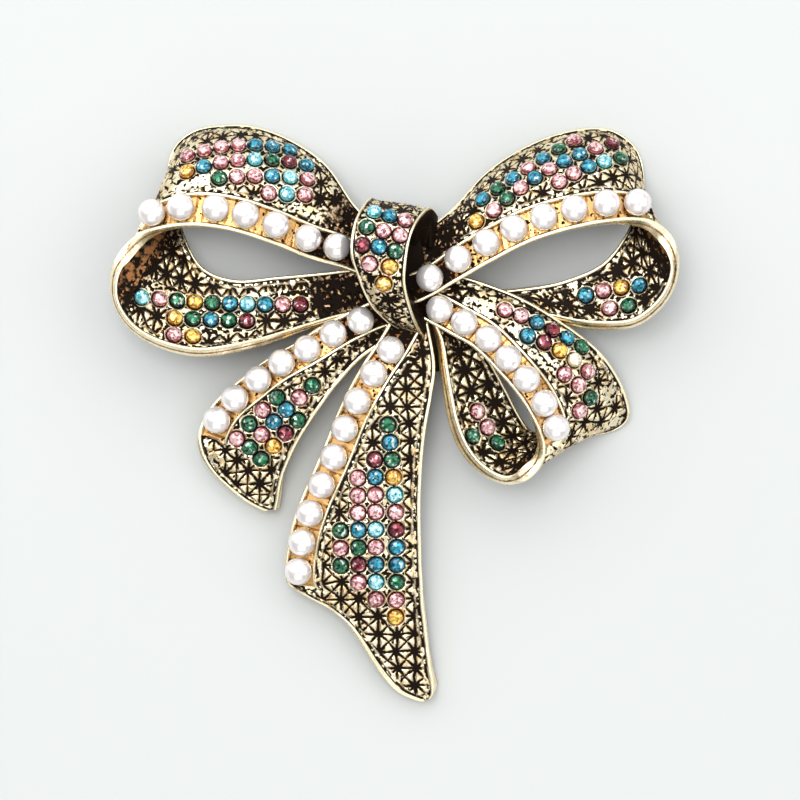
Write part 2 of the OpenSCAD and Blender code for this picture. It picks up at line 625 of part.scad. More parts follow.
module stones_right_loop() {
    translate(knot_place) {
        stones(right_loop, 1, RIGHT_LOOP_TOP, 0, 8);
        stones(right_loop, -1, RIGHT_LOOP_UNDER, 10, 17);
    }
}

module stones_lower_loop() {
    translate(knot_place) {
        stones(lower_loop, 1, LOWER_LOOP_TOP, 0, 8);
        stones(lower_loop, -1, LOWER_LOOP_UNDER, 11, 17);
    }
}

module stones_left_tail() {
    translate(knot_place) stones(left_tail, 1, LEFT_TAIL_TOP, 1, 11);
}

module stones_centre_tail() {
    translate(knot_place) stones(centre_tail, 1, CENTRE_TAIL_TOP, 1, 16);
}

module stones_knot() {
    translate(knot_place) stones(knot_band, 1, KNOT_TOP, 1, 9);
}

// Bar, hinge, stem and catch in one plain piece, closed
module pin_back() {
    top = web_base - bar_gap;
    stem_z = stem_lift + stem_d / 2;
    post = 2.4;
    post_w = 1.6;
    color("#c9b48a") translate(knot_place + [0, -bar_drop, 0]) {
        translate([-bar_len / 2, -bar_w / 2, top - bar_t]) cube([bar_len, bar_w, bar_t]);
        for (x = [-bar_len / 2, bar_len / 2 - post])
            translate([x, -post_w / 2, stem_lift]) cube([post, post_w, top - bar_t / 2 - stem_lift]);
        translate([-bar_len / 2, 0, stem_z]) rotate([0, 90, 0]) cylinder(d = stem_d, h = bar_len + post, $fn = 32);
    }
}

bow_casting();
pin_back();
for (s = STRINGS)
    for (i = [0 : len(s[2]) - 1])
        pearl(s[1], pearl_places(s)[i]);
stones_left_loop();
stones_right_loop();
stones_lower_loop();
stones_left_tail();
stones_centre_tail();
stones_knot();
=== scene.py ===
"""Bow brooch of antique gold ribbon with pearls and cut stones, dressed over its CAD frame."""
import math

import bpy
import numpy as np
from mathutils import Matrix, Vector


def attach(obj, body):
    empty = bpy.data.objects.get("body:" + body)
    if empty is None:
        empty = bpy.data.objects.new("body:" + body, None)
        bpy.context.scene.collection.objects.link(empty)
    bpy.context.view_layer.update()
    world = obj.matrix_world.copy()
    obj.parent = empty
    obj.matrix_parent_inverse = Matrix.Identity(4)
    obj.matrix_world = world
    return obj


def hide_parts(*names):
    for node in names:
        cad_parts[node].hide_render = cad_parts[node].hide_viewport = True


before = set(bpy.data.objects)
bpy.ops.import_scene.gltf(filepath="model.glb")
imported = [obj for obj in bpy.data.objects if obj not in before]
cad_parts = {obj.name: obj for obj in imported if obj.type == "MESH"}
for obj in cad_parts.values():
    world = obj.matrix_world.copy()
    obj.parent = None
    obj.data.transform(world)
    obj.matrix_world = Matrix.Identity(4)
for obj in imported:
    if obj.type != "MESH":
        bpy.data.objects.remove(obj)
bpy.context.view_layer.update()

# Left loop, front stretch: a cast ribbon of antique gold that leaves the knot, rises over the loop's hollow
# and turns back at its left end. Its rims and the ledge by the pearls are polished pale, its face is engraved
# with a lattice of stars and blackened, and it is cast in one with the other bands.
MM = 0.001
KNOT_PLACE = np.array([-0.75, 16.3, 0.0])
# Sizes are in mm. A LIP is how much the front rim widens where the channel ends, and PEARL_RUN is how far in
# from the front edge the pearls run.
RIM_W, RIM_H, RIM_SLOPE = 0.35, 0.2, 0.12
LOOP_LIP, TAIL_LIP = 0.08, 0.25
LEDGE_W, CHANNEL_W, CHANNEL_DEPTH = 0.25, 3.3949, 0.35
PEARL_RUN = 1.7474
NARROWEST = CHANNEL_W + 2 * (RIM_W + RIM_SLOPE)
STONE_D = 1.64
LOOP_WALL, LOOP_CROWN = 1.1, 2.3
TAIL_SPLAY = 0.35
KNOT_RIM, KNOT_SPLAY = 0.28, 0.8
PILLOW, CUT_DEPTH = 0.05, 0.14
# The mesh: its points' spacing, its columns across a side that isn't engraved, and the small steps along and
# across a band over which its slopes are taken
GRAIN, PLAIN_COLUMNS = 0.13, 8
STEP_U, STEP_T = 0.02, 0.01
# Marks that the points carry: the polish of the line halfway down a loop's wall, which is blackened, the
# distance to a stone where none is near, and the depth inside the rims where nothing is engraved
MID_WALL, FAR, OFF_FACE = 0.05, 9.0, -5.0

# Columns of a band's rows: front edge across, up and height, back edge across, up and height, crown, channel
LEFT_LOOP = [
    [-0.022, -0.142, 0.75, -0.043, 0.276, 0.54, 0.13, 1],
    [-0.145, -0.035, 0.82, -0.13, 0.439, 0.42, 0.39, 1],
    [-0.275, 0.035, 0.89, -0.228, 0.715, 0.26, 0.7, 1],
    [-0.416, 0.142, 0.95, -0.355, 0.892, 0.12, 0.91, 1],
    [-0.565, 0.234, 0.99, -0.496, 0.991, 0.06, 1, 1],
    [-0.699, 0.269, 1, -0.626, 0.994, 0.04, 0.91, 1],
    [-0.815, 0.248, 0.99, -0.713, 0.952, 0.04, 0.57, 1],
    [-0.909, 0.184, 0.95, -0.775, 0.842, 0.05, -0.09, 1],
    [-0.989, 0, 0.92, -0.798, 0.658, 0.07, -0.39, 0],
    [-0.996, -0.248, 0.88, -0.793, 0.389, 0.12, -0.39, 0],
    [-0.931, -0.46, 0.85, -0.746, 0.149, 0.21, -0.13, 0],
    [-0.815, -0.595, 0.82, -0.67, -0.042, 0.31, 0.13, 0],
    [-0.666, -0.648, 0.8, -0.55, -0.12, 0.38, 0.22, 0],
    [-0.482, -0.584, 0.73, -0.391, -0.088, 0.41, 0.22, 0],
    [-0.301, -0.467, 0.58, -0.239, -0.05, 0.41, 0.17, 0],
    [-0.156, -0.375, 0.46, -0.13, -0.021, 0.39, 0.09, 0],
    [-0.047, -0.333, 0.39, -0.043, -0.021, 0.38, 0, 0],
]
# Columns of a chart of stones: first stone across and up, last stone across and up, the row's bow, one letter
# a stone, and the lattice column and row of the first
LEFT_LOOP_TOP = [
    [-0.725, 0.767, -0.357, 0.814, 0.074, "ppppbbb", 0, 1],
    [-0.726, 0.655, -0.296, 0.704, 0.072, "ybppagwb", 0, 0],
    [-0.608, 0.608, -0.291, 0.604, 0.028, "gppbap", 2, -1],
    [-0.430, 0.502, -0.300, 0.492, 0, "pap", 5, -2],
]


def make_band(table, across, up, deep, crown, side, wall):
    """A band: its rows in mm, its sizes, the side of its course that its face is on, and its thickness."""
    rows = np.array(table, float) * np.array([across, up, deep, across, up, deep, crown, 1.0])
    return {"rows": rows, "side": side, "wall": wall, "across": across, "up": up, "deep": deep}


def course(rows, u):
    """The band's row at u, on a smooth course through its table."""
    last = len(rows) - 1
    u = np.asarray(u, float)
    i = np.minimum(np.floor(np.maximum(u, 0)).astype(int), last - 1)
    f = (u - i)[..., None]
    a, b, c, d = rows[np.maximum(i - 1, 0)], rows[i], rows[i + 1], rows[np.minimum(i + 2, last)]
    return 0.5 * (2 * b + (c - a) * f + (2 * a - 5 * b + 4 * c - d) * f**2 + (3 * b - a - 3 * c + d) * f**3)


def unit(v):
    return v / np.linalg.norm(v, axis=-1, keepdims=True)


def crest(band, u, t):
    """Points of the crowned face at u along and t across the band."""
    rows = band["rows"]
    q = course(rows, u)
    p, r = course(rows, np.maximum(u - STEP_U, 0)), course(rows, np.minimum(u + STEP_U, len(rows) - 1))
    along = r[..., 0:3] + r[..., 3:6] - p[..., 0:3] - p[..., 3:6]
    out = unit(band["side"] * np.cross(along, q[..., 3:6] - q[..., 0:3]))
    t = np.asarray(t, float)[..., None]
    return q[..., 0:3] * (1 - t) + q[..., 3:6] * t + 4 * q[..., 6:7] * t * (1 - t) * out


def face_out(band, u, t):
    """Which way a band's face looks."""
    end = len(band["rows"]) - 1
    along = crest(band, np.minimum(u + STEP_U, end), t) - crest(band, np.maximum(u - STEP_U, 0), t)
    return unit(band["side"] * np.cross(along, crest(band, u, t + STEP_T) - crest(band, u, t - STEP_T)))


def skin(band, u, t, h):
    """Points at height h over a band's face."""
    return crest(band, u, t) + np.asarray(h, float)[..., None] * face_out(band, u, t)


def width_at(band, u):
    q = course(band["rows"], u)
    return np.linalg.norm(q[..., 3:6] - q[..., 0:3], axis=-1)


def level(band, side):
    """Height of a band's face, or of its back for side -1."""
    return 0 if side > 0 else -band["wall"]


def seek(band, side, spot):
    """Where on a band's face, or on its back for side -1, this spot shows from the front."""
    h = level(band, side)
    start, stop = band["face_reach"] if side > 0 else band["back_reach"]
    tries = [(u, t) for u in np.arange(start, stop + 1) for t in (0.3, 0.6, 0.85)]
    u, t = min(tries, key=lambda at: np.hypot(*(crest(band, np.array(at[0]), at[1])[:2] - spot)))
    for _ in range(8):
        p = skin(band, np.array(u), t, h)
        a = (skin(band, np.array(u + STEP_U), t, h) - p) / STEP_U
        b = (skin(band, np.array(u), t + STEP_T, h) - p) / STEP_T
        e = spot - p[:2]
        det = a[0] * b[1] - a[1] * b[0]
        u += (e[0] * b[1] - e[1] * b[0]) / det
        t += (a[0] * e[1] - a[1] * e[0]) / det
        u, t = min(max(u, STEP_U), len(band["rows"]) - 1 - 2 * STEP_U), min(max(t, 0), 1)
    return u, t


def chart_places(band, side, chart):
    """Each stone of a chart: place along and across its band, lattice column and row, and its letter."""
    size = np.array([band["across"], band["up"]])
    places = []
    for row in chart:
        first, last = np.array(row[0:2]) * size, np.array(row[2:4]) * size
        run = last - first
        for i, letter in enumerate(row[5]):
            f = i / (len(row[5]) - 1) if len(row[5]) > 1 else 0
            spot = first + f * run + 4 * f * (1 - f) * row[4] * np.array([-run[1], run[0]])
            u, t = seek(band, side, spot)
            places.append((u, t, row[6] + i, row[7], letter))
    return places


def grain(x, y, size, seed):
    """Smooth random field between 0 and 1 with cells of this size."""
    table = np.random.default_rng(seed).random((97, 97))
    x, y = np.asarray(x) / size + 500.3, np.asarray(y) / size + 500.7
    i, j = np.floor(x).astype(int), np.floor(y).astype(int)
    f, g = x - i, y - j
    f, g = f * f * (3 - 2 * f), g * g * (3 - 2 * g)
    i, j, k, m = (cell % len(table) for cell in (i, j, i + 1, j + 1))
    low, high = (table[i, row] * (1 - f) + table[k, row] * f for row in (j, m))
    return low * (1 - g) + high * g


def fade(x, low, high):
    """0 below low and 1 above high, or the other way round where high is the smaller."""
    f = np.clip((x - low) / (high - low), 0, 1)
    return f * f * (3 - 2 * f)


def engrave(band, kind, side, along, across, points, edge, dark, worn, seed):
    """The graver's pattern: each point's lattice column and row, the state of its place (1 for a star, 0.5
    where one has worn away, 0 under a stone), how deep it is cut and how far the nearest stone is. The stars
    stand on the stones' own lattice, fitted along and across a band, or in plan on a flat tail."""
    places = chart_places(band, side, band["face_chart"] if side > 0 else band["back_chart"])
    feet = np.array([skin(band, np.array(u), t, level(band, side)) for u, t, *_ in places])
    u, t, *known = (np.array([place[k] for place in places]) for k in range(4))
    s, d = np.interp(u, band["u_line"], band["s_line"]), t * width_at(band, u)
    if kind == "tail":
        along, across, s, d = points[..., 0], points[..., 1], feet[:, 0], feet[:, 1]
    mid = np.array([s.mean(), d.mean()])

    def terms(s, d):
        x, y = (s - mid[0]) / 10, (d - mid[1]) / 10
        return np.stack([np.ones_like(x), x, y, x * y, x * x, y * y], -1)

    # The easing keeps the lattice nearly straight where no stone holds it, and the grain lets it waver
    ease = np.diag([0, 0.0005, 0.0005, 0.06, 0.06, 0.2])
    held = terms(s, d)
    fits = [np.linalg.solve(held.T @ held / len(s) + ease, held.T @ numbers / len(s)) for numbers in known]
    column, row = (
        terms(along, across) @ fit + 0.16 * (grain(along, across, 1.3, seed + k) - 0.5)
        for k, fit in enumerate(fits)
    )
    i, j = np.rint(column), np.rint(row)
    a, b = column - i, row - j
    r, turn = np.hypot(a, b), np.arctan2(b, a)
    eighth = math.pi / 4
    ray = np.abs(np.sin(turn - np.rint(turn / eighth) * eighth)) * r
    dice = np.random.default_rng(seed + 5).random((61, 61))
    luck = dice[i.astype(int) % len(dice), j.astype(int) % len(dice)]
    free = np.where(luck < worn, 0.5, 1.0)
    for c, k in zip(*known):
        free[(i == c) & (j == k)] = 0
    near = np.full(i.shape, FAR)
    for foot in feet:
        near = np.minimum(near, np.linalg.norm(points - foot, axis=-1))
    half = 0.06 * (1 - r / 0.75) + 0.035 + 0.03 * dark
    cuts = fade(ray, half + 0.06, half - 0.02) * (free > 0.7) * fade(edge, 0.2, 0.5) * fade(near, 1.0, 1.15)
    groove = fade(near, STONE_D / 2 + 0.22, STONE_D / 2 + 0.10)
    return column, row, free, np.maximum(cuts, groove), near


def lip_at(kind, g):
    """How wide the front rim is where the channel is open by g."""
    return RIM_W + (TAIL_LIP if kind == "tail" else LOOP_LIP) * (1 - g)


def ring_lines(kind, wall, w, g, fine_face, fine_back):
    """Lines of a band's section, first over the face from the front rim, then down the side and round the
    back: distance from the front edge, height, polish, and how many columns run on to the next line."""
    wide, r, c, z = np.maximum(w, NARROWEST), RIM_H, -CHANNEL_DEPTH * g, -wall

    def spread(lines):
        one = np.ones_like(w)
        return [(d * one, h * one, polish * one, n) for d, h, polish, n in lines]

    if kind == "knot":
        face = [
            (0, 0.3 * r, 1, 1), (0.05, 0.8 * r, 1, 1), (0.1, r, 1, 1), (KNOT_RIM - 0.05, r, 1, 1),
            (KNOT_RIM, 0.8 * r, 0.8, 1), (KNOT_RIM + RIM_SLOPE, 0, 0, fine_face),
            (w - KNOT_RIM - RIM_SLOPE, 0, 0, 1), (w - KNOT_RIM, 0.8 * r, 0.8, 1),
            (w - KNOT_RIM + 0.05, r, 1, 1), (w - 0.1, r, 1, 1), (w - 0.05, 0.8 * r, 1, 1), (w, 0.3 * r, 1, 1),
        ]
        back = [
            (w + 0.03, -0.1, 0, 8), (w + KNOT_SPLAY, z, 0, 3), (w / 2, z, 0, 3), (0, z, 0, 8),
            (-0.03, -0.1, 0, 1),
        ]
        return spread(face), spread(back)
    near, far = CHANNEL_W + RIM_SLOPE, wide - RIM_W - RIM_SLOPE
    lip, ledge = lip_at(kind, g), CHANNEL_W - LEDGE_W
    face = [
        (0, 0.3 * r, 1, 1), (0.06, 0.8 * r, 1, 1), (0.14, r, 1, 2), (lip - 0.08, r, 1, 1),
        (lip, 0.75 * r, 0.8, 1), (lip + RIM_SLOPE, c, 0.35 * g, 9), (PEARL_RUN, c, 0.35 * g, 9),
        (ledge - RIM_SLOPE, c, 0.35 * g, 1), (ledge, 0.7 * r * g, 0.8 * g, 1), (ledge + 0.06, r * g, g, 2),
        (CHANNEL_W - 0.04, r * g, g, 1), (CHANNEL_W, 0.7 * r * g, 0.8 * g, 1), (near, 0, 0, fine_face),
        (far, 0, 0, 1), (far + RIM_SLOPE, 0.75 * r, 0.8, 1), (far + RIM_SLOPE + 0.08, r, 1, 2),
        (wide - 0.14, r, 1, 1), (wide - 0.06, 0.8 * r, 1, 1), (wide, 0.3 * r, 1, 1 if kind == "tail" else 2),
    ]
    if kind == "tail":
        back = [
            (w + 0.05, -0.15, 0.5, 3), (w + TAIL_SPLAY, z + 0.1, 0, 1), (w + TAIL_SPLAY - 0.1, z, 0, 3),
            (w / 2, z, 0, 3), (0.1 - TAIL_SPLAY, z, 0, 1), (-TAIL_SPLAY, z + 0.1, 0, 3),
            (-0.05, -0.15, 0.5, 1),
        ]
    else:
        back = [
            (w, z / 2, MID_WALL, 2), (w, z - 0.3 * r, 0.6, 1), (w - 0.06, z - 0.8 * r, 0.8, 1),
            (w - 0.14, z - r, 1, 2), (w - RIM_W + 0.08, z - r, 1, 1), (w - RIM_W, z - 0.75 * r, 0.8, 1),
            (w - RIM_W - RIM_SLOPE, z, 0, fine_back), (RIM_W + RIM_SLOPE, z, 0, 1),
            (RIM_W, z - 0.75 * r, 0.8, 1), (RIM_W - 0.08, z - r, 1, 2), (0.14, z - r, 1, 1),
            (0.06, z - 0.8 * r, 0.8, 1), (0, z - 0.3 * r, 0.6, 2), (0, z / 2, MID_WALL, 2),
        ]
    # Where the band is narrower than its rims and channel, its face's lines are drawn together
    shrink = np.minimum(w / (2 * (lip + RIM_SLOPE) + 0.3), 1)
    low, high = lip + RIM_SLOPE, far
    low_in, high_in = low * shrink, w - (RIM_W + RIM_SLOPE) * shrink
    drawn = []
    for d, h, polish, n in spread(face):
        between = low_in + (d - low) * (high_in - low_in) / (high - low)
        d = np.where(d <= low, d * shrink, np.where(d >= high, w - (wide - d) * shrink, between))
        drawn.append((d, h, polish, n))
    return drawn, spread(back)


def wear(points):
    """How dark the metal was left: most within 4.5 mm of the knot, and not at all past 13.5 mm."""
    return fade(np.linalg.norm(points[..., :2] * [1, 0.85], axis=-1), 13.5, 4.5)


def sweep_band(name, band, kind, start, stop, side, dark, brown, worn, seed):
    """A closed length of band from row start to row stop, engraved on its face or, for side -1, on its back.
    It is darker than others by dark, and where it starts by brown. Of its stars, the share worn has gone."""
    line = np.linspace(0, len(band["rows"]) - 1, 600)
    mid = crest(band, line, np.full_like(line, 0.5))
    steps = np.linalg.norm(np.diff(mid, axis=0), axis=-1)
    band.update(u_line=line, s_line=np.concatenate([[0], np.cumsum(steps)]))
    s0, s1 = np.interp([start, stop], line, band["s_line"])
    s = np.linspace(s0, s1, int((s1 - s0) / GRAIN) + 1)
    u = np.interp(s, band["s_line"], line)
    w, g = width_at(band, u), np.clip(course(band["rows"], u)[:, 7], 0, 1)
    if side > 0:
        fine = int((w.max() - (0 if kind == "knot" else CHANNEL_W)) / GRAIN), PLAIN_COLUMNS
    else:
        fine = PLAIN_COLUMNS, int(w.max() / GRAIN)
    face, back = ring_lines(kind, band["wall"], w, g, *fine)
    lines = face + back
    columns = []
    for k, (d, h, polish, count) in enumerate(lines):
        d2, h2, polish2, _ = lines[(k + 1) % len(lines)]
        columns += [
            (d * (1 - f) + d2 * f, h * (1 - f) + h2 * f, polish * (1 - f) + polish2 * f)
            for f in np.arange(count) / count
        ]
    columns.append(columns[0])
    d, h, polish = (np.stack([c[k] for c in columns], 1) for k in range(3))
    u, s, w, g = (np.repeat(x[:, None], d.shape[1], 1) for x in (u, s, w, g))
    bare = crest(band, u, d / w)
    shade = np.clip(wear(bare) + dark, 0, 0.8)
    lip = lip_at(kind, g) if side > 0 else RIM_W
    edge = np.minimum(d - lip - RIM_SLOPE, w - d - RIM_W - RIM_SLOPE)
    if kind == "knot":
        edge = np.minimum(d, w - d) - KNOT_RIM - RIM_SLOPE
    elif side > 0:
        edge = np.where(g > 0.85, np.minimum(edge, d - CHANNEL_W - RIM_SLOPE), edge)
    base = level(band, side)
    flat = bare + base * face_out(band, u, d / w)
    column, row, free, cuts, near = engrave(band, kind, side, s, d, flat, edge, shade, worn, seed)
    on_face = (h - base < 0.12) & (h - base > -0.3) & (edge > -0.02)
    if side > 0:
        on_face &= np.arange(d.shape[1])[None, :] < sum(n for *_, n in face)
    else:
        on_face &= s > s0 + 0.4 + 1.6 * grain(s, d, 1.5, seed + 7)
    ends = fade(s, s1, s1 - 0.3) * fade(s, s0, s0 + 0.3)
    cuts, free = cuts * on_face * ends, free * on_face * ends
    edge = np.where(on_face | (np.abs(h - base) < RIM_H) & (edge > -RIM_SLOPE * 1.1), edge, OFF_FACE)
    h = h + side * (PILLOW * fade(near, 1.5, 1.0) * on_face - CUT_DEPTH * cuts)
    points = skin(band, u, d / w, h) + KNOT_PLACE
    points[..., 2] = np.maximum(points[..., 2], 0.0)
    # Tan runs from 0 on clean metal over brown to black, past 1 on the knot's walls, whose black is painted
    # shade beside the knot
    channel = np.where((g > 0.85) & (side > 0) & (h < -0.2) & (d < CHANNEL_W) & (d > 0.3), 1.0, 0.0)
    tan = np.clip(shade + brown * fade(s, s0 + 4.0, s0 + 1.0) * (polish < 0.5), 0, 1)
    # The knot's walls and back get 1.8 rather than 1: painted shade beside the knot
    plain = np.maximum(tan, np.where(on_face, 0, 1.8 if kind == "knot" else 1.0))
    # In the channel the tan is raised by a fifth: painted shade under the pearls
    tan = np.where(polish < 0.02, plain, tan * np.where(channel > 0, 1.2, 1 - 0.6 * polish))
    tan = np.where(polish == MID_WALL, 1.0, tan)

    bpy.ops.object.select_all(action="DESELECT")
    bpy.ops.mesh.primitive_grid_add(x_subdivisions=d.shape[1] - 1, y_subdivisions=d.shape[0] - 1, size=1)
    piece = bpy.context.object
    piece.name = piece.data.name = name
    mesh = piece.data
    mesh.vertices.foreach_set("co", (points * MM).astype(np.float32).ravel())
    carried = {"lattice": (column, row, free), "reach": (near, edge, tan), "finish": (polish, s, channel)}
    for key, values in carried.items():
        values = np.stack(values, -1).astype(np.float32).ravel()
        mesh.attributes.new(key, "FLOAT_VECTOR", "POINT").data.foreach_set("vector", values)
    bpy.ops.object.mode_set(mode="EDIT")
    bpy.ops.mesh.select_all(action="SELECT")
    # A tail's columns run together at its thin tip
    bpy.ops.mesh.remove_doubles(threshold=5e-6 if kind == "tail" else 1e-7)
    bpy.ops.mesh.select_all(action="DESELECT")
    bpy.ops.mesh.select_mode(type="EDGE")
    bpy.ops.mesh.select_non_manifold(extend=False)
    bpy.ops.mesh.fill()
    bpy.ops.mesh.select_all(action="SELECT")
    bpy.ops.mesh.normals_make_consistent(inside=False)
    bpy.ops.object.mode_set(mode="OBJECT")
    bpy.ops.object.shade_smooth_by_angle(angle=math.radians(50))
    mesh.materials.append(gold)
    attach(piece, "root")
    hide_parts("bow_casting")


def new_finish(name):
    material = bpy.data.materials.new(name)
    material.use_nodes = True
    return material


def node(material, kind, **values):
    made = material.node_tree.nodes.new(kind)
    for key, value in values.items():
        setattr(made, key, value)
    return made


def plug(material, value, socket):
    """Sets a socket to a constant, or to the output of another node."""
    if isinstance(value, bpy.types.NodeSocket):
        material.node_tree.links.new(value, socket)
    else:
        socket.default_value = value


def dress(material, settings):
    """Sets these sockets of a material's shader."""
    for key, value in settings.items():
        plug(material, value, material.node_tree.nodes["Principled BSDF"].inputs[key])


def feed(material, made, values):
    """Sets a node's first sockets to these values, and gives its first output."""
    for k, value in enumerate(values):
        plug(material, value, made.inputs[k])
    return made.outputs[0]


def calc(material, operation, *values):
    return feed(material, node(material, "ShaderNodeMath", operation=operation), values)


def squares(material, first, second):
    """The sum of two numbers' squares."""
    first, second = calc(material, "MULTIPLY", first, first), calc(material, "MULTIPLY", second, second)
    return calc(material, "ADD", first, second)


def step(material, value, low, high):
    """0 below low and 1 above high, or the other way round where high is the smaller."""
    made = node(material, "ShaderNodeMapRange", interpolation_type="SMOOTHSTEP")
    return feed(material, made, (value, low, high))


def cloud(material, size, detail=2.0, rough=0.5):
    """Noise between 0 and 1 with features of this size in mm."""
    coordinates = node(material, "ShaderNodeTexCoord").outputs["Object"]
    made = node(material, "ShaderNodeTexNoise")
    settings = {"Vector": coordinates, "Scale": 1000.0 / size, "Detail": detail, "Roughness": rough}
    for key, value in settings.items():
        plug(material, value, made.inputs[key])
    return made.outputs["Fac"]


def blend(material, factor, first, second):
    """The first colour where the factor is 0, and the second where it is 1."""
    made = node(material, "ShaderNodeMix", data_type="RGBA")
    for key, value in (("Factor", factor), ("A", first), ("B", second)):
        value = (*value, 1) if isinstance(value, tuple) else value
        plug(material, value, next(i for i in made.inputs if i.name == key and i.enabled))
    return next(o for o in made.outputs if o.enabled)


def attribute(material, name):
    """The three numbers that each point of a band carries under this name."""
    made = node(material, "ShaderNodeAttribute", attribute_name=name)
    parts = node(material, "ShaderNodeSeparateXYZ")
    material.node_tree.links.new(made.outputs["Vector"], parts.inputs[0])
    return parts.outputs


DEEP_GOLD, PALE_GOLD, POLISHED_GOLD = (0.88, 0.66, 0.36), (1.0, 0.90, 0.65), (1.0, 0.90, 0.63)
HALO, SOOT_AND_SHADE = (0.50, 0.32, 0.14), (0.010, 0.006, 0.004)
# The channel's amber is darker than the metal: painted shade under the pearls
PEARL_SHADE_AMBER, RIB_BROWN = (0.60, 0.36, 0.14), (0.26, 0.11, 0.03)
FOLD_DARK, FOLD_TAN = (0.050, 0.018, 0.006), (0.33, 0.125, 0.028)
gold = new_finish("antique_gold")
column, row, free = attribute(gold, "lattice")
near, edge, tan = attribute(gold, "reach")
polish, along, channel = attribute(gold, "finish")
fine, coarse, broad = cloud(gold, 0.25, 3.0, 0.6), cloud(gold, 0.50, 1.0), cloud(gold, 1.1, 3.0)
# The stars: eight rays from each lattice place, along, across and slantwise, which narrow outwards
off_a = calc(gold, "SUBTRACT", column, calc(gold, "ROUND", column))
off_b = calc(gold, "SUBTRACT", row, calc(gold, "ROUND", row))
size_a, size_b = calc(gold, "ABSOLUTE", off_a), calc(gold, "ABSOLUTE", off_b)
slant = calc(gold, "MULTIPLY", calc(gold, "ABSOLUTE", calc(gold, "SUBTRACT", size_a, size_b)), 0.707)
ray = calc(gold, "MINIMUM", calc(gold, "MINIMUM", size_a, size_b), slant)
half = calc(gold, "SQRT", squares(gold, off_a, off_b))
half = calc(gold, "MULTIPLY_ADD", half, -0.10, calc(gold, "MULTIPLY_ADD", tan, 0.05, 0.115))
half = calc(gold, "MULTIPLY_ADD", calc(gold, "SUBTRACT", fine, 0.5), 0.16, half)
into = calc(gold, "SUBTRACT", ray, half)
inside = step(gold, edge, -0.05, 0.02)
by_rim = calc(gold, "MULTIPLY_ADD", calc(gold, "SUBTRACT", coarse, 0.5), 0.6, edge)
by_rim = calc(gold, "MULTIPLY", step(gold, by_rim, 0.60, 0.25), inside)
open_field = calc(gold, "MULTIPLY", step(gold, free, 0.65, 0.85), calc(gold, "SUBTRACT", 1.0, by_rim))
open_field = calc(gold, "MULTIPLY", open_field, step(gold, near, 0.99, 1.06))
star = calc(gold, "MULTIPLY", step(gold, into, 0.012, -0.018), open_field)
halo = calc(gold, "MULTIPLY", step(gold, into, 0.14, 0.0), open_field)
# Rough marks along the rims, between the stones and where a star has worn away
filler = calc(gold, "MULTIPLY", step(gold, free, 0.35, 0.15), inside)
blobs = calc(gold, "MULTIPLY", step(gold, coarse, 0.42, 0.49), calc(gold, "MAXIMUM", by_rim, filler))
gone = calc(gold, "MULTIPLY", step(gold, free, 0.68, 0.55), inside)
blobs = calc(gold, "MAXIMUM", blobs, calc(gold, "MULTIPLY", gone, step(gold, coarse, 0.53, 0.59)))
blobs = calc(gold, "MULTIPLY", blobs, step(gold, near, 1.04, 1.10))
# A dark line at the foot of each rim, a dark ring round each stone and a dot between every four
rim_foot = calc(gold, "MULTIPLY", step(gold, edge, 0.10, 0.0), step(gold, edge, -0.14, -0.06))
rim_foot = calc(gold, "MULTIPLY", rim_foot, step(gold, broad, 0.36, 0.46))
dark_ring = step(gold, near, 0.95, 0.91)
dot = squares(gold, calc(gold, "SUBTRACT", size_a, 0.5), calc(gold, "SUBTRACT", size_b, 0.5))
dot = calc(gold, "MULTIPLY", step(gold, dot, 0.018, 0.008), step(gold, near, 1.2, 1.1))
dot = calc(gold, "MULTIPLY", dot, step(gold, coarse, 0.42, 0.5))
cut = star
for mark in (blobs, rim_foot, dark_ring, dot):
    cut = calc(gold, "MAXIMUM", cut, mark)
# The metal under the blackening, with cross ribs in the channel
rib = calc(gold, "FRACT", calc(gold, "MULTIPLY", along, 1.15))
rib = step(gold, calc(gold, "ABSOLUTE", calc(gold, "SUBTRACT", rib, 0.5)), 0.20, 0.08)
rib = calc(gold, "MULTIPLY", calc(gold, "MULTIPLY", rib, step(gold, broad, 0.35, 0.55)), channel)
metal = blend(gold, step(gold, broad, 0.32, 0.55), DEEP_GOLD, PALE_GOLD)
metal = blend(gold, calc(gold, "MULTIPLY", halo, 0.45), metal, HALO)
metal = blend(gold, polish, metal, POLISHED_GOLD)
# The channel is painted a darker amber than the metal, painted shade under the pearls
metal = blend(gold, channel, metal, PEARL_SHADE_AMBER)
metal = blend(gold, rib, metal, RIB_BROWN)
# Broad dark patches, which in the channel are painted shade under the pearls, the brown of the folds, and
# black where the tan is highest, most of it painted shade on the knot's walls and the web
murk = step(gold, calc(gold, "MULTIPLY_ADD", tan, 0.25, coarse), 0.62, 0.68)
soil_and_shade = calc(gold, "MULTIPLY", step(gold, tan, 0.85, 0.95), step(gold, broad, 0.56, 0.44))
# In the channel the dark patches are painted shade under the pearls
soil_and_shade = calc(gold, "MAXIMUM", step(gold, free, 0.2, 0.6), calc(gold, "MAXIMUM", channel, soil_and_shade))
cut = calc(gold, "MAXIMUM", cut, calc(gold, "MULTIPLY", murk, soil_and_shade))
# The brown-black stain, which on the knot's walls and the web is painted shade
stain_and_shade = calc(gold, "MULTIPLY", step(gold, calc(gold, "ADD", fine, tan), 0.85, 1.45), 0.95)
stain_and_shade = calc(gold, "MULTIPLY", stain_and_shade, step(gold, tan, 0.0, 0.25))
fold = step(gold, calc(gold, "MULTIPLY_ADD", tan, -0.14, broad), 0.26, 0.44)
metal = blend(gold, stain_and_shade, metal, blend(gold, fold, FOLD_DARK, FOLD_TAN))
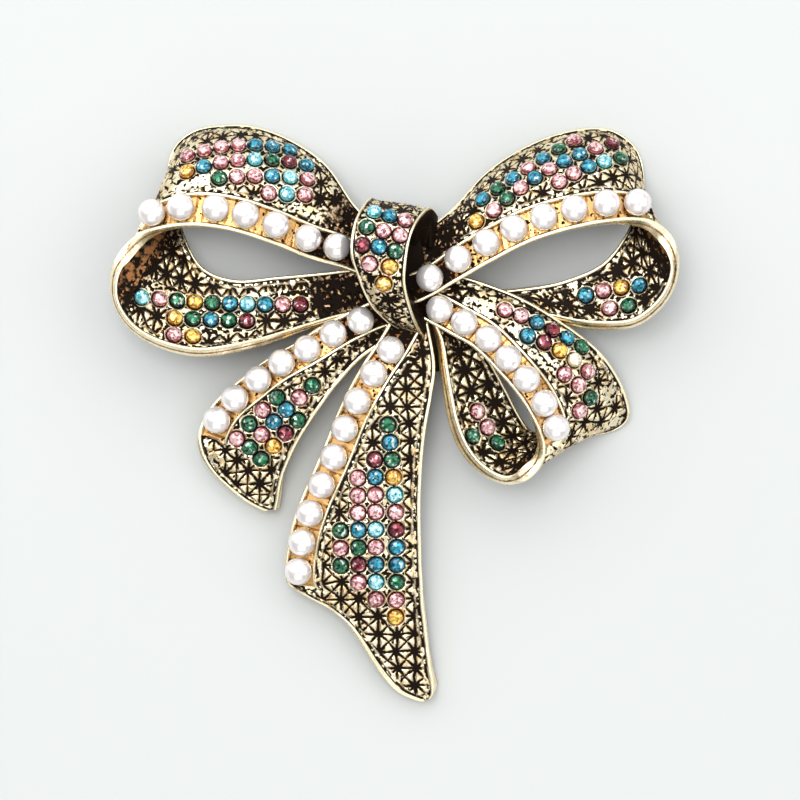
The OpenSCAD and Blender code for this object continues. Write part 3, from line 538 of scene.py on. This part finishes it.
# Black where the tan is highest: painted shade on the knot's walls and the web
cut = calc(gold, "MAXIMUM", cut, step(gold, calc(gold, "MULTIPLY_ADD", tan, 0.5, fine), 1.15, 1.30))
metal = blend(gold, cut, metal, SOOT_AND_SHADE)
facet = calc(gold, "MULTIPLY", step(gold, into, -0.02, 0.16), calc(gold, "MULTIPLY", open_field, 0.7))
relief = calc(gold, "MULTIPLY_ADD", fine, 0.3, facet)
relief = calc(gold, "SUBTRACT", calc(gold, "SUBTRACT", relief, rib), cut)
bump = node(gold, "ShaderNodeBump")
for key, value in (("Strength", 0.5), ("Distance", 0.06 * MM), ("Height", relief)):
    plug(gold, value, bump.inputs[key])
dress(gold, {
    "Base Color": metal,
    "Metallic": calc(gold, "MULTIPLY_ADD", cut, -0.9, 1.0),
    "Roughness": calc(gold, "MULTIPLY_ADD", stain_and_shade, 0.25, calc(gold, "MULTIPLY_ADD", fine, 0.3, 0.14)),
    "Specular IOR Level": 0.03,
    "Normal": bump.outputs["Normal"],
})

left_loop = make_band(LEFT_LOOP, across=30.1, up=15.4, deep=8.5, crown=LOOP_CROWN, side=-1, wall=LOOP_WALL)
left_loop.update(face_chart=LEFT_LOOP_TOP, face_reach=(0, 7))
sweep_band("left_loop_front", left_loop, "loop", 0, 9, side=1, dark=0.0, brown=0.0, worn=0.2, seed=11)

# Left loop, back stretch: the same ribbon on its way back to the knot under the hollow. It shows its inner
# side, which is engraved and set as well, and it is plain and brown where it comes out of the fold.
LEFT_LOOP_UNDER = [
    [-0.890, -0.233, -0.317, -0.284, -0.014, "apgygbabpw", 0, 0],
    [-0.771, -0.380, -0.510, -0.400, 0, "ygbgw", 2, -1],
    [-0.772, -0.500, -0.704, -0.508, 0, "py", 2, -2],
]
left_loop.update(back_chart=LEFT_LOOP_UNDER, back_reach=(10, 16))
sweep_band("left_loop_back", left_loop, "loop", 9, 16, side=-1, dark=0.1, brown=0.7, worn=0.05, seed=23)

# Right loop: the larger of the two, made as the left one is. Its hollow is wider, its set field smaller, and
# its back stretch darker.
RIGHT_LOOP = [
    [0.041, -0.316, 0.73, 0.031, 0.194, 0.54, 0.13, 1],
    [0.135, -0.244, 0.8, 0.131, 0.265, 0.46, 0.35, 1],
    [0.243, -0.115, 0.87, 0.228, 0.409, 0.32, 0.65, 1],
    [0.369, 0.032, 0.94, 0.352, 0.681, 0.15, 0.91, 1],
    [0.5, 0.165, 0.99, 0.493, 0.868, 0.07, 1, 1],
    [0.648, 0.258, 1, 0.635, 0.972, 0.04, 0.91, 1],
    [0.783, 0.305, 0.99, 0.759, 0.986, 0.04, 0.61, 1],
    [0.893, 0.301, 0.95, 0.842, 0.889, 0.05, 0.04, 1],
    [0.969, 0.201, 0.92, 0.876, 0.753, 0.07, -0.35, 0],
    [0.999, 0.036, 0.87, 0.883, 0.574, 0.12, -0.39, 0],
    [0.987, -0.151, 0.84, 0.869, 0.38, 0.21, -0.17, 0],
    [0.935, -0.323, 0.8, 0.824, 0.194, 0.32, 0.09, 0],
    [0.842, -0.448, 0.75, 0.738, 0, 0.4, 0.22, 0],
    [0.704, -0.459, 0.64, 0.617, -0.104, 0.42, 0.22, 0],
    [0.566, -0.409, 0.52, 0.49, -0.151, 0.4, 0.17, 0],
    [0.404, -0.337, 0.44, 0.352, -0.165, 0.38, 0.09, 0],
    [0.231, -0.273, 0.39, 0.214, -0.079, 0.36, 0, 0],
    [0.076, -0.222, 0.38, 0.076, -0.022, 0.36, 0, 0],
]
RIGHT_LOOP_TOP = [
    [0.327, 0.467, 0.645, 0.897, 0.008, "bgbpbgp", 0, 1],
    [0.365, 0.387, 0.775, 0.873, 0.060, "pgpbpbbpw", 0, 0],
    [0.304, 0.307, 0.304, 0.307, 0, "y", -1, 0],
    [0.589, 0.590, 0.803, 0.762, 0.055, "ppbag", 4, -1],
]
RIGHT_LOOP_UNDER = [
    [0.683, -0.220, 0.867, -0.150, 0.030, "bpyb", 0, 0],
    [0.764, -0.315, 0.829, -0.295, 0, "pg", 1, -1],
]
right_loop = make_band(RIGHT_LOOP, across=31.6, up=15.2, deep=8.5, crown=LOOP_CROWN, side=1, wall=LOOP_WALL)
right_loop.update(face_chart=RIGHT_LOOP_TOP, face_reach=(0, 8))
right_loop.update(back_chart=RIGHT_LOOP_UNDER, back_reach=(10, 17))
sweep_band("right_loop_front", right_loop, "loop", 0, 9, side=1, dark=0.0, brown=0.0, worn=0.08, seed=31)
sweep_band("right_loop_back", right_loop, "loop", 9, 17, side=-1, dark=0.35, brown=0.9, worn=0.05, seed=37)

# Lower loop: the ribbon's third loop, cast as the others are, which falls to the right and folds back up to
# the knot. Half of the stars on its front have worn away.
LOWER_LOOP = [
    [0.057, -0.203, 0.64, 0.131, 0.005, 0.54, 0.04, 1],
    [0.151, -0.252, 0.71, 0.253, -0.032, 0.58, 0.13, 1],
    [0.249, -0.311, 0.78, 0.392, -0.081, 0.6, 0.26, 1],
    [0.351, -0.378, 0.82, 0.551, -0.153, 0.61, 0.43, 1],
    [0.453, -0.491, 0.86, 0.723, -0.268, 0.58, 0.57, 1],
    [0.535, -0.599, 0.87, 0.861, -0.387, 0.45, 0.61, 1],
    [0.596, -0.712, 0.87, 0.943, -0.509, 0.28, 0.43, 1],
    [0.627, -0.815, 0.86, 0.984, -0.617, 0.15, 0.13, 1],
    [0.612, -0.905, 0.84, 0.988, -0.689, 0.08, -0.17, 0],
    [0.551, -0.971, 0.8, 0.931, -0.739, 0.05, -0.3, 0],
    [0.465, -0.984, 0.78, 0.816, -0.766, 0.06, -0.22, 0],
    [0.371, -0.932, 0.75, 0.686, -0.779, 0.12, 0, 0],
    [0.298, -0.842, 0.74, 0.588, -0.752, 0.21, 0.17, 0],
    [0.253, -0.725, 0.72, 0.531, -0.671, 0.31, 0.22, 0],
    [0.229, -0.599, 0.68, 0.482, -0.563, 0.36, 0.22, 0],
    [0.212, -0.473, 0.62, 0.425, -0.446, 0.4, 0.17, 0],
    [0.196, -0.347, 0.55, 0.351, -0.32, 0.41, 0.09, 0],
    [0.155, -0.239, 0.49, 0.253, -0.212, 0.41, 0, 0],
]
LOWER_LOOP_TOP = [
    [0.477, -0.205, 0.790, -0.370, 0.030, "ppbwbg", 0, 0],
    [0.569, -0.321, 0.814, -0.480, 0.055, "bwycp", 2, -1],
    [0.719, -0.493, 0.824, -0.599, 0.040, "ppg", 5, -2],
    [0.780, -0.657, 0.780, -0.657, 0, "p", 7, -3],
]
LOWER_LOOP_UNDER = [
    [0.364, -0.661, 0.446, -0.804, 0, "ppg", 0, 0],
    [0.343, -0.773, 0.343, -0.773, 0, "g", 1, -1],
]
lower_loop = make_band(LOWER_LOOP, across=26.7, up=24.2, deep=8.5, crown=LOOP_CROWN, side=1, wall=LOOP_WALL)
lower_loop.update(face_chart=LOWER_LOOP_TOP, face_reach=(0, 8))
lower_loop.update(back_chart=LOWER_LOOP_UNDER, back_reach=(11, 17))
sweep_band("lower_loop_front", lower_loop, "loop", 0, 9.5, side=1, dark=-0.2, brown=0.0, worn=0.5, seed=41)
sweep_band("lower_loop_back", lower_loop, "loop", 9.5, 17, side=-1, dark=0.2, brown=0.4, worn=0.03, seed=43)

# Left tail: a flat end of the ribbon, cast thicker than the loops, with its pearls along the upper edge and
# its tip cut on a slant.
TAIL_WALL, TAIL_CROWN = 1.6, 1.2
LEFT_TAIL = [
    [-0.052, -0.132, 0.88, 0.073, -0.252, 0.89, 0.17, 1],
    [-0.199, -0.184, 0.88, -0.01, -0.303, 0.89, 0.42, 1],
    [-0.346, -0.24, 0.84, -0.141, -0.375, 0.88, 0.67, 1],
    [-0.493, -0.311, 0.75, -0.257, -0.471, 0.86, 0.92, 1],
    [-0.645, -0.377, 0.64, -0.356, -0.571, 0.82, 1, 1],
    [-0.781, -0.457, 0.54, -0.43, -0.655, 0.73, 1, 1],
    [-0.918, -0.552, 0.45, -0.482, -0.723, 0.64, 1, 1],
    [-0.994, -0.656, 0.41, -0.519, -0.783, 0.57, 0.83, 1],
    [-0.997, -0.737, 0.39, -0.545, -0.83, 0.5, 0.58, 0],
    [-0.945, -0.813, 0.38, -0.561, -0.874, 0.45, 0.33, 0],
    [-0.86, -0.88, 0.36, -0.569, -0.91, 0.41, 0.17, 0],
    [-0.765, -0.939, 0.34, -0.576, -0.946, 0.38, 0.08, 0],
    [-0.66, -0.982, 0.32, -0.587, -0.978, 0.34, 0, 0],
]
LEFT_TAIL_TOP = [
    [-0.580, -0.529, -0.793, -0.695, -0.028, "gpgp", 2, -1],
    [-0.396, -0.482, -0.725, -0.729, -0.015, "gpbbpg", 0, 0],
    [-0.473, -0.620, -0.667, -0.775, 0, "gwyg", 2, 1],
]
left_tail = make_band(LEFT_TAIL, across=20.8, up=27.3, deep=5.6, crown=TAIL_CROWN, side=1, wall=TAIL_WALL)
left_tail.update(face_chart=LEFT_TAIL_TOP, face_reach=(1, 11))
sweep_band("left_tail", left_tail, "tail", 0, 12, side=1, dark=0.0, brown=0.0, worn=0.06, seed=53)

# Centre tail: the long end of the ribbon, cast as the left one is, set with more stones and run out to a
# hooked tip.
CENTRE_TAIL = [
    [0.106, -0.089, 1, 0.376, -0.12, 1, 0, 1],
    [-0.082, -0.168, 1, 0.453, -0.225, 0.98, 0.25, 1],
    [-0.246, -0.226, 0.95, 0.424, -0.297, 0.96, 0.58, 1],
    [-0.381, -0.282, 0.86, 0.376, -0.359, 0.93, 0.92, 1],
    [-0.497, -0.339, 0.77, 0.342, -0.418, 0.88, 1, 1],
    [-0.603, -0.402, 0.71, 0.323, -0.477, 0.84, 1, 1],
    [-0.719, -0.466, 0.68, 0.313, -0.534, 0.8, 1, 1],
    [-0.834, -0.527, 0.62, 0.313, -0.588, 0.77, 1, 1],
    [-0.926, -0.588, 0.59, 0.318, -0.638, 0.73, 1, 1],
    [-0.974, -0.64, 0.54, 0.323, -0.684, 0.68, 0.92, 1],
    [-0.998, -0.688, 0.5, 0.333, -0.72, 0.64, 0.92, 1],
    [-0.979, -0.722, 0.48, 0.338, -0.752, 0.61, 0.75, 1],
    [-0.839, -0.747, 0.48, 0.347, -0.781, 0.57, 0.5, 0],
    [-0.598, -0.778, 0.46, 0.362, -0.808, 0.54, 0.42, 0],
    [-0.41, -0.815, 0.46, 0.376, -0.838, 0.5, 0.33, 0],
    [-0.275, -0.858, 0.45, 0.391, -0.867, 0.46, 0.25, 0],
    [-0.159, -0.902, 0.41, 0.405, -0.895, 0.45, 0.17, 0],
    [-0.043, -0.94, 0.38, 0.424, -0.926, 0.39, 0.08, 0],
    [0.087, -0.972, 0.32, 0.444, -0.956, 0.36, 0, 0],
    [0.241, -0.99, 0.29, 0.444, -0.976, 0.32, 0, 0],
    [0.323, -0.995, 0.28, 0.41, -0.988, 0.29, 0, 0],
]
CENTRE_TAIL_TOP = [
    [0, -0.363, 0.075, -0.801, 0.022, "gbgyapwbbgpy", 0, 0],
    [-0.124, -0.442, -0.115, -0.760, 0, "wbppapbap", 2, -1],
    [-0.289, -0.484, -0.282, -0.721, 0, "pppbgwp", 3, -2],
    [-0.455, -0.604, -0.455, -0.684, 0, "gpg", 6, -3],
]
centre_tail = make_band(CENTRE_TAIL, across=11.3, up=48, deep=5.6, crown=TAIL_CROWN, side=1, wall=TAIL_WALL)
centre_tail.update(face_chart=CENTRE_TAIL_TOP, face_reach=(1, 16))
sweep_band("centre_tail", centre_tail, "tail", 0, 20, side=1, dark=0.0, brown=0.0, worn=0.03, seed=61)

# Knot: the short band wound over the middle and cast in one with the rest, deep and black at its sides, with
# small rims and a few stones.
KNOT = [
    [-0.238, 0.491, 0.32, 0.991, 0.376, 0.32, 0, 0],
    [-0.377, 0.499, 0.59, 0.852, 0.426, 0.55, 0.5, 0],
    [-0.505, 0.438, 0.82, 0.674, 0.365, 0.79, 0.75, 0],
    [-0.654, 0.322, 0.96, 0.525, 0.276, 0.92, 1, 0],
    [-0.723, 0.184, 1, 0.426, 0.169, 0.97, 1, 0],
    [-0.723, 0.054, 1, 0.367, 0.031, 0.99, 1, 0],
    [-0.614, -0.069, 0.96, 0.337, -0.123, 0.97, 1, 0],
    [-0.495, -0.192, 0.89, 0.396, -0.253, 0.91, 1, 0],
    [-0.317, -0.315, 0.79, 0.495, -0.376, 0.8, 0.75, 0],
    [-0.059, -0.415, 0.64, 0.604, -0.476, 0.67, 0.5, 0],
    [0.178, -0.476, 0.48, 0.713, -0.545, 0.5, 0, 0],
]
KNOT_TOP = [
    [-0.266, 0.390, 0.335, 0.328, 0, "abp", 0, 0],
    [-0.408, 0.278, 0.236, 0.215, 0, "gpp", 0, -1],
    [-0.497, 0.137, 0.143, 0.094, 0.040, "wbg", 0, -2],
    [-0.357, -0.002, 0.034, -0.025, 0, "py", 1, -3],
    [-0.083, -0.154, -0.083, -0.154, 0, "y", 2, -4],
]
knot = make_band(KNOT, across=5.5, up=14.2, deep=11.2, crown=0.4, side=1, wall=4.0)
knot.update(face_chart=KNOT_TOP, face_reach=(1, 9))
sweep_band("knot", knot, "knot", 0, 10, side=1, dark=-0.6, brown=0.0, worn=0.05, seed=71)

# Web: the metal behind the knot that ties the bands together, cast with them in two lumps and painted black,
# painted shade under the knot.
# Each lump is the hull of its posts.
# Columns of a post: place across and up, radius and top, as shares of the knot's sizes
WEB_BASE = 2.0
WEB_POSTS = [
    [-0.30, 0.22, 0.22, 0.60],
    [-0.30, -0.05, 0.22, 0.60],
    [-0.20, -0.25, 0.22, 0.55],
    [0.05, -0.36, 0.22, 0.50],
    [0.46, -0.33, 0.22, 0.49],
    [0.58, -0.18, 0.22, 0.50],
    [0.50, 0.05, 0.22, 0.55],
    [0.40, 0.22, 0.22, 0.58],
    [0.80, -0.55, 0.12, 0.42],
    [0.96, -0.78, 0.10, 0.36],
]
CORE_POSTS = [
    [-0.24, 0.24, 0.30, 0.86],
    [-0.24, 0.02, 0.30, 0.88],
    [0.06, -0.20, 0.26, 0.80],
    [0.08, 0.20, 0.26, 0.86],
]


def join(pieces, name):
    bpy.ops.object.select_all(action="DESELECT")
    for piece in pieces:
        piece.select_set(True)
    bpy.context.view_layer.objects.active = pieces[0]
    bpy.ops.object.join()
    bpy.ops.object.transform_apply(location=True, rotation=True, scale=True)
    piece = bpy.context.object
    piece.name = piece.data.name = name
    return piece


def cast_lump(name, posts):
    stems = []
    for x, y, radius, top in posts:
        tall = top * knot["deep"] - WEB_BASE
        spot = KNOT_PLACE + [x * knot["across"], y * knot["up"], WEB_BASE + tall / 2]
        radius = radius * knot["across"] * MM
        bpy.ops.object.select_all(action="DESELECT")
        bpy.ops.mesh.primitive_cylinder_add(
            vertices=24, radius=radius, depth=tall * MM, location=Vector(spot) * MM
        )
        stems.append(bpy.context.object)
    lump = join(stems, name)
    bpy.ops.object.mode_set(mode="EDIT")
    bpy.ops.mesh.select_all(action="SELECT")
    bpy.ops.mesh.convex_hull()
    bpy.ops.object.mode_set(mode="OBJECT")
    bpy.ops.object.shade_smooth_by_angle(angle=math.radians(40))
    reach = lump.data.attributes.new("reach", "FLOAT_VECTOR", "POINT")
    for spot in reach.data:
        # A tan of 2 paints the web black: painted shade under the knot
        spot.vector = (FAR, OFF_FACE, 2)
    lump.data.materials.append(gold)
    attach(lump, "root")
    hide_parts("bow_casting")


cast_lump("knot_web", WEB_POSTS)
cast_lump("knot_core", CORE_POSTS)

# Stones: round brilliants of foiled glass, each cut to a table with rings of facets round it and set flush in
# the casting.
STONE_TALL, STONE_MID = 0.72, 0.16
# How far a stone's origin, which is a little over its foot, stands out of a face and out of a hollow's side
STONE_GAP, HOLLOW_GAP = 0.14, 0.22
bpy.ops.object.select_all(action="DESELECT")
bpy.ops.mesh.primitive_cylinder_add(
    vertices=16, radius=STONE_D / 2, depth=STONE_TALL, location=(0, 0, STONE_MID)
)
brilliant = bpy.context.object
brilliant.name = "brilliant"
bpy.ops.object.transform_apply(location=True, rotation=False, scale=False)
bpy.ops.object.mode_set(mode="EDIT")
# Columns: how far out a ring of cuts crosses, at what height, its lean in degrees, how many cuts it has, and
# by how many half steps it is turned
for reach, height, lean, count, turn in ((1, 0.20, 47, 16, 0), (1, 0.235, 37, 8, 0), (0.6, 0.42, 22, 8, 1)):
    for k in range(count):
        angle = math.tau * (k + turn / 2) / count + math.pi / 16
        flat = Vector((math.cos(angle), math.sin(angle), 0))
        out = flat * math.sin(math.radians(lean)) + Vector((0, 0, math.cos(math.radians(lean))))
        bpy.ops.mesh.select_all(action="SELECT")
        bpy.ops.mesh.bisect(
            plane_co=flat * reach * STONE_D / 2 + Vector((0, 0, height)), plane_no=out, use_fill=True,
            clear_outer=True, threshold=0.00001,
        )
bpy.ops.mesh.select_all(action="SELECT")
bpy.ops.mesh.normals_make_consistent(inside=False)
bpy.ops.object.mode_set(mode="OBJECT")
brilliant.scale = (MM, MM, MM)
bpy.ops.object.transform_apply(location=False, rotation=False, scale=True)
# The middle of each stone is painted lighter, a painted reflection off its foil, over each point's distance
# out from the middle
middle = brilliant.data.attributes.new("middle", "FLOAT", "POINT")
for vertex in brilliant.data.vertices:
    middle.data[vertex.index].value = vertex.co.xy.length / (STONE_D / 2 * MM)

STONE_COLOURS = {
    "b": ("blue", (0.002, 0.05, 0.09), (0.04, 0.34, 0.47)),
    "a": ("aqua", (0.03, 0.28, 0.36), (0.50, 0.88, 0.92)),
    "p": ("pink", (0.24, 0.05, 0.065), (0.93, 0.60, 0.61)),
    "w": ("wine", (0.035, 0.003, 0.006), (0.27, 0.03, 0.05)),
    "g": ("green", (0.001, 0.018, 0.010), (0.02, 0.19, 0.085)),
    "y": ("yellow", (0.34, 0.12, 0.005), (1.0, 0.70, 0.15)),
    "c": ("clear", (0.50, 0.41, 0.25), (1.0, 0.93, 0.78)),
}
# White of the painted glints on the stones
PAINTED_GLINT = (1.0, 0.98, 0.95)
glass = {}
for letter, (name, deep, light) in STONE_COLOURS.items():
    foil = new_finish("glass_" + name)
    # The stone's colour is painted light: it runs from deep to light over random cells, painted reflections
    # of the facets, and lighter towards the middle, a painted reflection off the foil
    chips = node(foil, "ShaderNodeTexVoronoi")
    plug(foil, 4200.0, chips.inputs["Scale"])
    plug(foil, node(foil, "ShaderNodeTexCoord").outputs["Object"], chips.inputs["Vector"])
    sparkle_cells = node(foil, "ShaderNodeSeparateColor")
    plug(foil, chips.outputs["Color"], sparkle_cells.inputs["Color"])
    lit_middle = node(foil, "ShaderNodeAttribute", attribute_name="middle").outputs["Fac"]
    lit_middle = step(foil, lit_middle, 1.0, 0.62)
    painted_sparkle = calc(foil, "MULTIPLY_ADD", sparkle_cells.outputs[0], 0.75, calc(foil, "MULTIPLY", lit_middle, 0.35))
    colour = blend(foil, step(foil, painted_sparkle, 0.35, 0.95), deep, light)
    # Painted glints: white flecks in the middle of each stone
    painted_glint = calc(foil, "MULTIPLY", step(foil, sparkle_cells.outputs[1], 0.86, 0.90), lit_middle)
    dress(foil, {
        "Base Color": blend(foil, calc(foil, "MULTIPLY", painted_glint, 0.55), colour, PAINTED_GLINT),
        "Metallic": 0.45,
        "Roughness": 0.08,
        "Specular IOR Level": 0.3,
        "Coat Weight": 0.35,
        "Coat Roughness": 0.02,
    })
    glass[letter] = foil


def stand(band, side, u, t, h):
    """Turns and moves a part that stands on the origin to its place on a band."""
    p = skin(band, u, t, h) + KNOT_PLACE
    z = side * face_out(band, u, t)
    x = unit(np.cross([0, 1, 0], z))
    y = np.cross(z, x)
    return Matrix([[x[k], y[k], z[k], p[k] * MM] for k in range(3)] + [[0, 0, 0, 1]])


def copy_of(model):
    twin = model.copy()
    twin.data = model.data.copy()
    bpy.context.collection.objects.link(twin)
    return twin


def set_stones(name, band, charts):
    """Copies of the brilliant in their places on a band, joined to one field."""
    field = []
    for side, chart in charts:
        for u, t, _, _, letter in chart_places(band, side, chart):
            height = level(band, side) + (STONE_GAP if side > 0 else -HOLLOW_GAP)
            gem = copy_of(brilliant)
            gem.data.transform(stand(band, side, u, t, height))
            gem.data.materials.append(glass[letter])
            field.append(gem)
    piece = join(field, name)
    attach(piece, "root")
    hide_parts("stones_" + name[:-7])


set_stones("left_loop_stones", left_loop, [(1, LEFT_LOOP_TOP), (-1, LEFT_LOOP_UNDER)])
set_stones("right_loop_stones", right_loop, [(1, RIGHT_LOOP_TOP), (-1, RIGHT_LOOP_UNDER)])
set_stones("lower_loop_stones", lower_loop, [(1, LOWER_LOOP_TOP), (-1, LOWER_LOOP_UNDER)])
set_stones("left_tail_stones", left_tail, [(1, LEFT_TAIL_TOP)])
set_stones("centre_tail_stones", centre_tail, [(1, CENTRE_TAIL_TOP)])
set_stones("knot_stones", knot, [(1, KNOT_TOP)])
bpy.data.objects.remove(brilliant)

# Pearls: coated beads with a flat back, glued on seats along each ribbon's front edge, all but touching. A
# pearl's centre stands PEARL_LIFT over the face, and its back is cut off PEARL_SEAT of its width below that.
PEARL_D, PEARL_LIFT, PEARL_SEAT = 3.0, 0.872, 0.34
pearl_coat = new_finish("pearl_coat")
bloom = step(pearl_coat, cloud(pearl_coat, 1.6), 0.35, 0.65)
dress(pearl_coat, {
    "Base Color": blend(pearl_coat, bloom, (0.86, 0.81, 0.80), (0.91, 0.88, 0.87)),
    "Metallic": 0.55,
    "Roughness": 0.25,
    "Coat Weight": 0.7,
    "Coat Roughness": 0.10,
    "Coat IOR": 1.6,
})
bpy.ops.object.select_all(action="DESELECT")
bpy.ops.mesh.primitive_uv_sphere_add(segments=40, ring_count=24, radius=PEARL_D / 2)
bead = bpy.context.object
bpy.ops.object.mode_set(mode="EDIT")
bpy.ops.mesh.select_all(action="SELECT")
bpy.ops.mesh.bisect(
    plane_co=(0, 0, -PEARL_SEAT * PEARL_D), plane_no=(0, 0, -1), use_fill=True, clear_outer=True,
    threshold=0.00001,
)
bpy.ops.mesh.select_all(action="SELECT")
bpy.ops.mesh.normals_make_consistent(inside=False)
bpy.ops.object.mode_set(mode="OBJECT")
bead.scale = (MM, MM, MM)
bpy.ops.object.transform_apply(location=False, rotation=False, scale=True)
bpy.ops.object.shade_smooth_by_angle(angle=math.radians(40))
bead.data.materials.append(pearl_coat)


def pearl_share(band, u):
    """How far across a band its pearls' line runs, as a share of its width."""
    return PEARL_RUN / np.maximum(width_at(band, u), NARROWEST)


def string_pearls(name, band, size, shares):
    """Pearls along a band's front edge, at these distances from the knot's centre as shares of this size."""
    stop = np.flatnonzero(band["rows"][:, 7] == 1).max() + 0.5
    line = np.linspace(0, stop, 2000)
    spots = skin(band, line, pearl_share(band, line), PEARL_LIFT)
    reach = np.hypot(spots[:, 0], spots[:, 1])
    for k, share in enumerate(shares):
        u = line[np.argmax(reach > share * band[size])]
        pearl = copy_of(bead)
        pearl.name = pearl.data.name = f"{name}_pearl_{k + 1}"
        pearl.data.transform(stand(band, 1, u, pearl_share(band, u), PEARL_LIFT))
        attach(pearl, "root")
        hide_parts(f"pearl_{name}_{k + 1}")


string_pearls("left_loop", left_loop, "across", (0.195, 0.303, 0.427, 0.543, 0.653, 0.774, 0.872))
string_pearls("right_loop", right_loop, "across", (0.150, 0.241, 0.344, 0.448, 0.557, 0.666, 0.778, 0.883))
string_pearls("lower_loop", lower_loop, "up", (0.306, 0.430, 0.559, 0.683, 0.806, 0.937, 1.052))
string_pearls("left_tail", left_tail, "up", (0.247, 0.351, 0.465, 0.577, 0.691, 0.812, 0.924))
string_pearls(
    "centre_tail", centre_tail, "up", (0.193, 0.249, 0.317, 0.384, 0.453, 0.522, 0.591, 0.660, 0.726)
)
bpy.data.objects.remove(bead)

# Pin: a flat bar soldered behind the knot, with a hinge at its left end, a pointed stem and a coiled catch at
# its right end, all of plain plated steel.
BAR_LEN, BAR_W, BAR_THICK, BAR_HIGH = 27.0, 2.4, 0.56, 1.62
PIN_DROP, HINGE_X, STEM_HIGH, STEM_R = 4.0, -12.3, 0.75, 0.34
pin_middle = KNOT_PLACE - [0, PIN_DROP, 0]
pin_parts = []


def pin_part(maker, spot, lean=(0, 0, 0), **sizes):
    """A part of the pin at this spot from its middle, turned by these degrees."""
    bpy.ops.object.select_all(action="DESELECT")
    lean = [math.radians(angle) for angle in lean]
    maker(location=Vector(pin_middle + np.array(spot)) * MM, rotation=lean, **sizes)
    pin_parts.append(bpy.context.object)
    return bpy.context.object


bar = pin_part(bpy.ops.mesh.primitive_cube_add, (0, 0, BAR_HIGH), size=1)
bar.scale = (BAR_LEN * MM, BAR_W * MM, BAR_THICK * MM)
bpy.ops.object.transform_apply(location=False, rotation=False, scale=True)
bpy.ops.object.mode_set(mode="EDIT")
bpy.ops.mesh.bevel(offset=0.18 * MM, segments=3)
bpy.ops.object.mode_set(mode="OBJECT")
disc = bpy.ops.mesh.primitive_cylinder_add
ring = bpy.ops.mesh.primitive_torus_add
for y in (-0.6, 0.6):
    pin_part(disc, (HINGE_X, y, 1.05), (90, 0, 0), vertices=32, radius=0.7 * MM, depth=0.35 * MM)
pin_part(disc, (HINGE_X, 0, 0.95), (90, 0, 0), vertices=24, radius=0.25 * MM, depth=1.9 * MM)
pin_part(disc, (0.9, 0, STEM_HIGH), (0, 90, 0), vertices=24, radius=STEM_R * MM, depth=26.4 * MM)
pin_part(
    bpy.ops.mesh.primitive_cone_add, (14.85, 0, STEM_HIGH), (0, 90, 0), vertices=24, radius1=STEM_R * MM,
    radius2=0.05 * MM, depth=1.6 * MM,
)
for x in (11.5, 12.1, 12.7):
    pin_part(
        ring, (x, 0, 0.98), (0, 90, 0), major_segments=32, minor_segments=12, major_radius=0.44 * MM,
        minor_radius=0.2 * MM,
    )
pin = join(pin_parts, "pin")
bpy.ops.object.shade_smooth_by_angle(angle=math.radians(40))
pin_plate = new_finish("pin_plate")
brushed = blend(pin_plate, cloud(pin_plate, 0.7, 3.0), (0.50, 0.39, 0.22), (0.78, 0.67, 0.44))
dress(pin_plate, {"Base Color": brushed, "Metallic": 1.0, "Roughness": 0.32})
pin.data.materials.append(pin_plate)
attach(pin, "root")
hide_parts("pin_back")

# Table, light and camera: the brooch lies on its back on pale matt paper, under five soft boxes, and is seen
# from almost straight above.
AIM_HIGH, CAMERA_HIGH = 0.005, 0.6056
bpy.ops.object.select_all(action="DESELECT")
bpy.ops.mesh.primitive_plane_add(size=1.2)
table = bpy.context.object
table.name = "table"
paper = new_finish("pale_paper")
dress(paper, {"Base Color": (0.53, 0.55, 0.55, 1), "Roughness": 0.7})
table.data.materials.append(paper)

sky = bpy.data.worlds.new("studio")
sky.use_nodes = True
sky.node_tree.nodes["Background"].inputs["Color"].default_value = (1.0, 0.98, 0.95, 1)
sky.node_tree.nodes["Background"].inputs["Strength"].default_value = 0.32
bpy.context.scene.world = sky
for name, spot, size, power in (
    ("overhead_box", (-0.13, 0.13, 0.85), 0.42, 3.4),
    ("key_box", (-0.28, 0.25, 0.30), 0.60, 1.8),
    ("right_box", (0.36, 0.02, 0.30), 0.50, 1.1),
    ("low_box", (0.00, -0.36, 0.30), 0.50, 0.8),
    ("back_box", (0.10, 0.42, 0.32), 0.50, 1.2),
):
    bpy.ops.object.light_add(type="AREA", location=spot)
    box = bpy.context.object
    box.name = name
    box.data.size = size
    box.data.energy = power
    box.rotation_mode = "QUATERNION"
    box.rotation_quaternion = (Vector(spot) - Vector((0, 0, AIM_HIGH))).to_track_quat("Z", "Y")

bpy.ops.object.camera_add(location=(0.00056, 0.00158, AIM_HIGH + CAMERA_HIGH), rotation=(0, 0, 0))
camera = bpy.context.object
camera.data.lens = 250
camera.data.sensor_width = 36
camera.data.clip_start, camera.data.clip_end = 0.01, 5
bpy.context.scene.camera = camera
bpy.context.scene.view_settings.view_transform = "Standard"
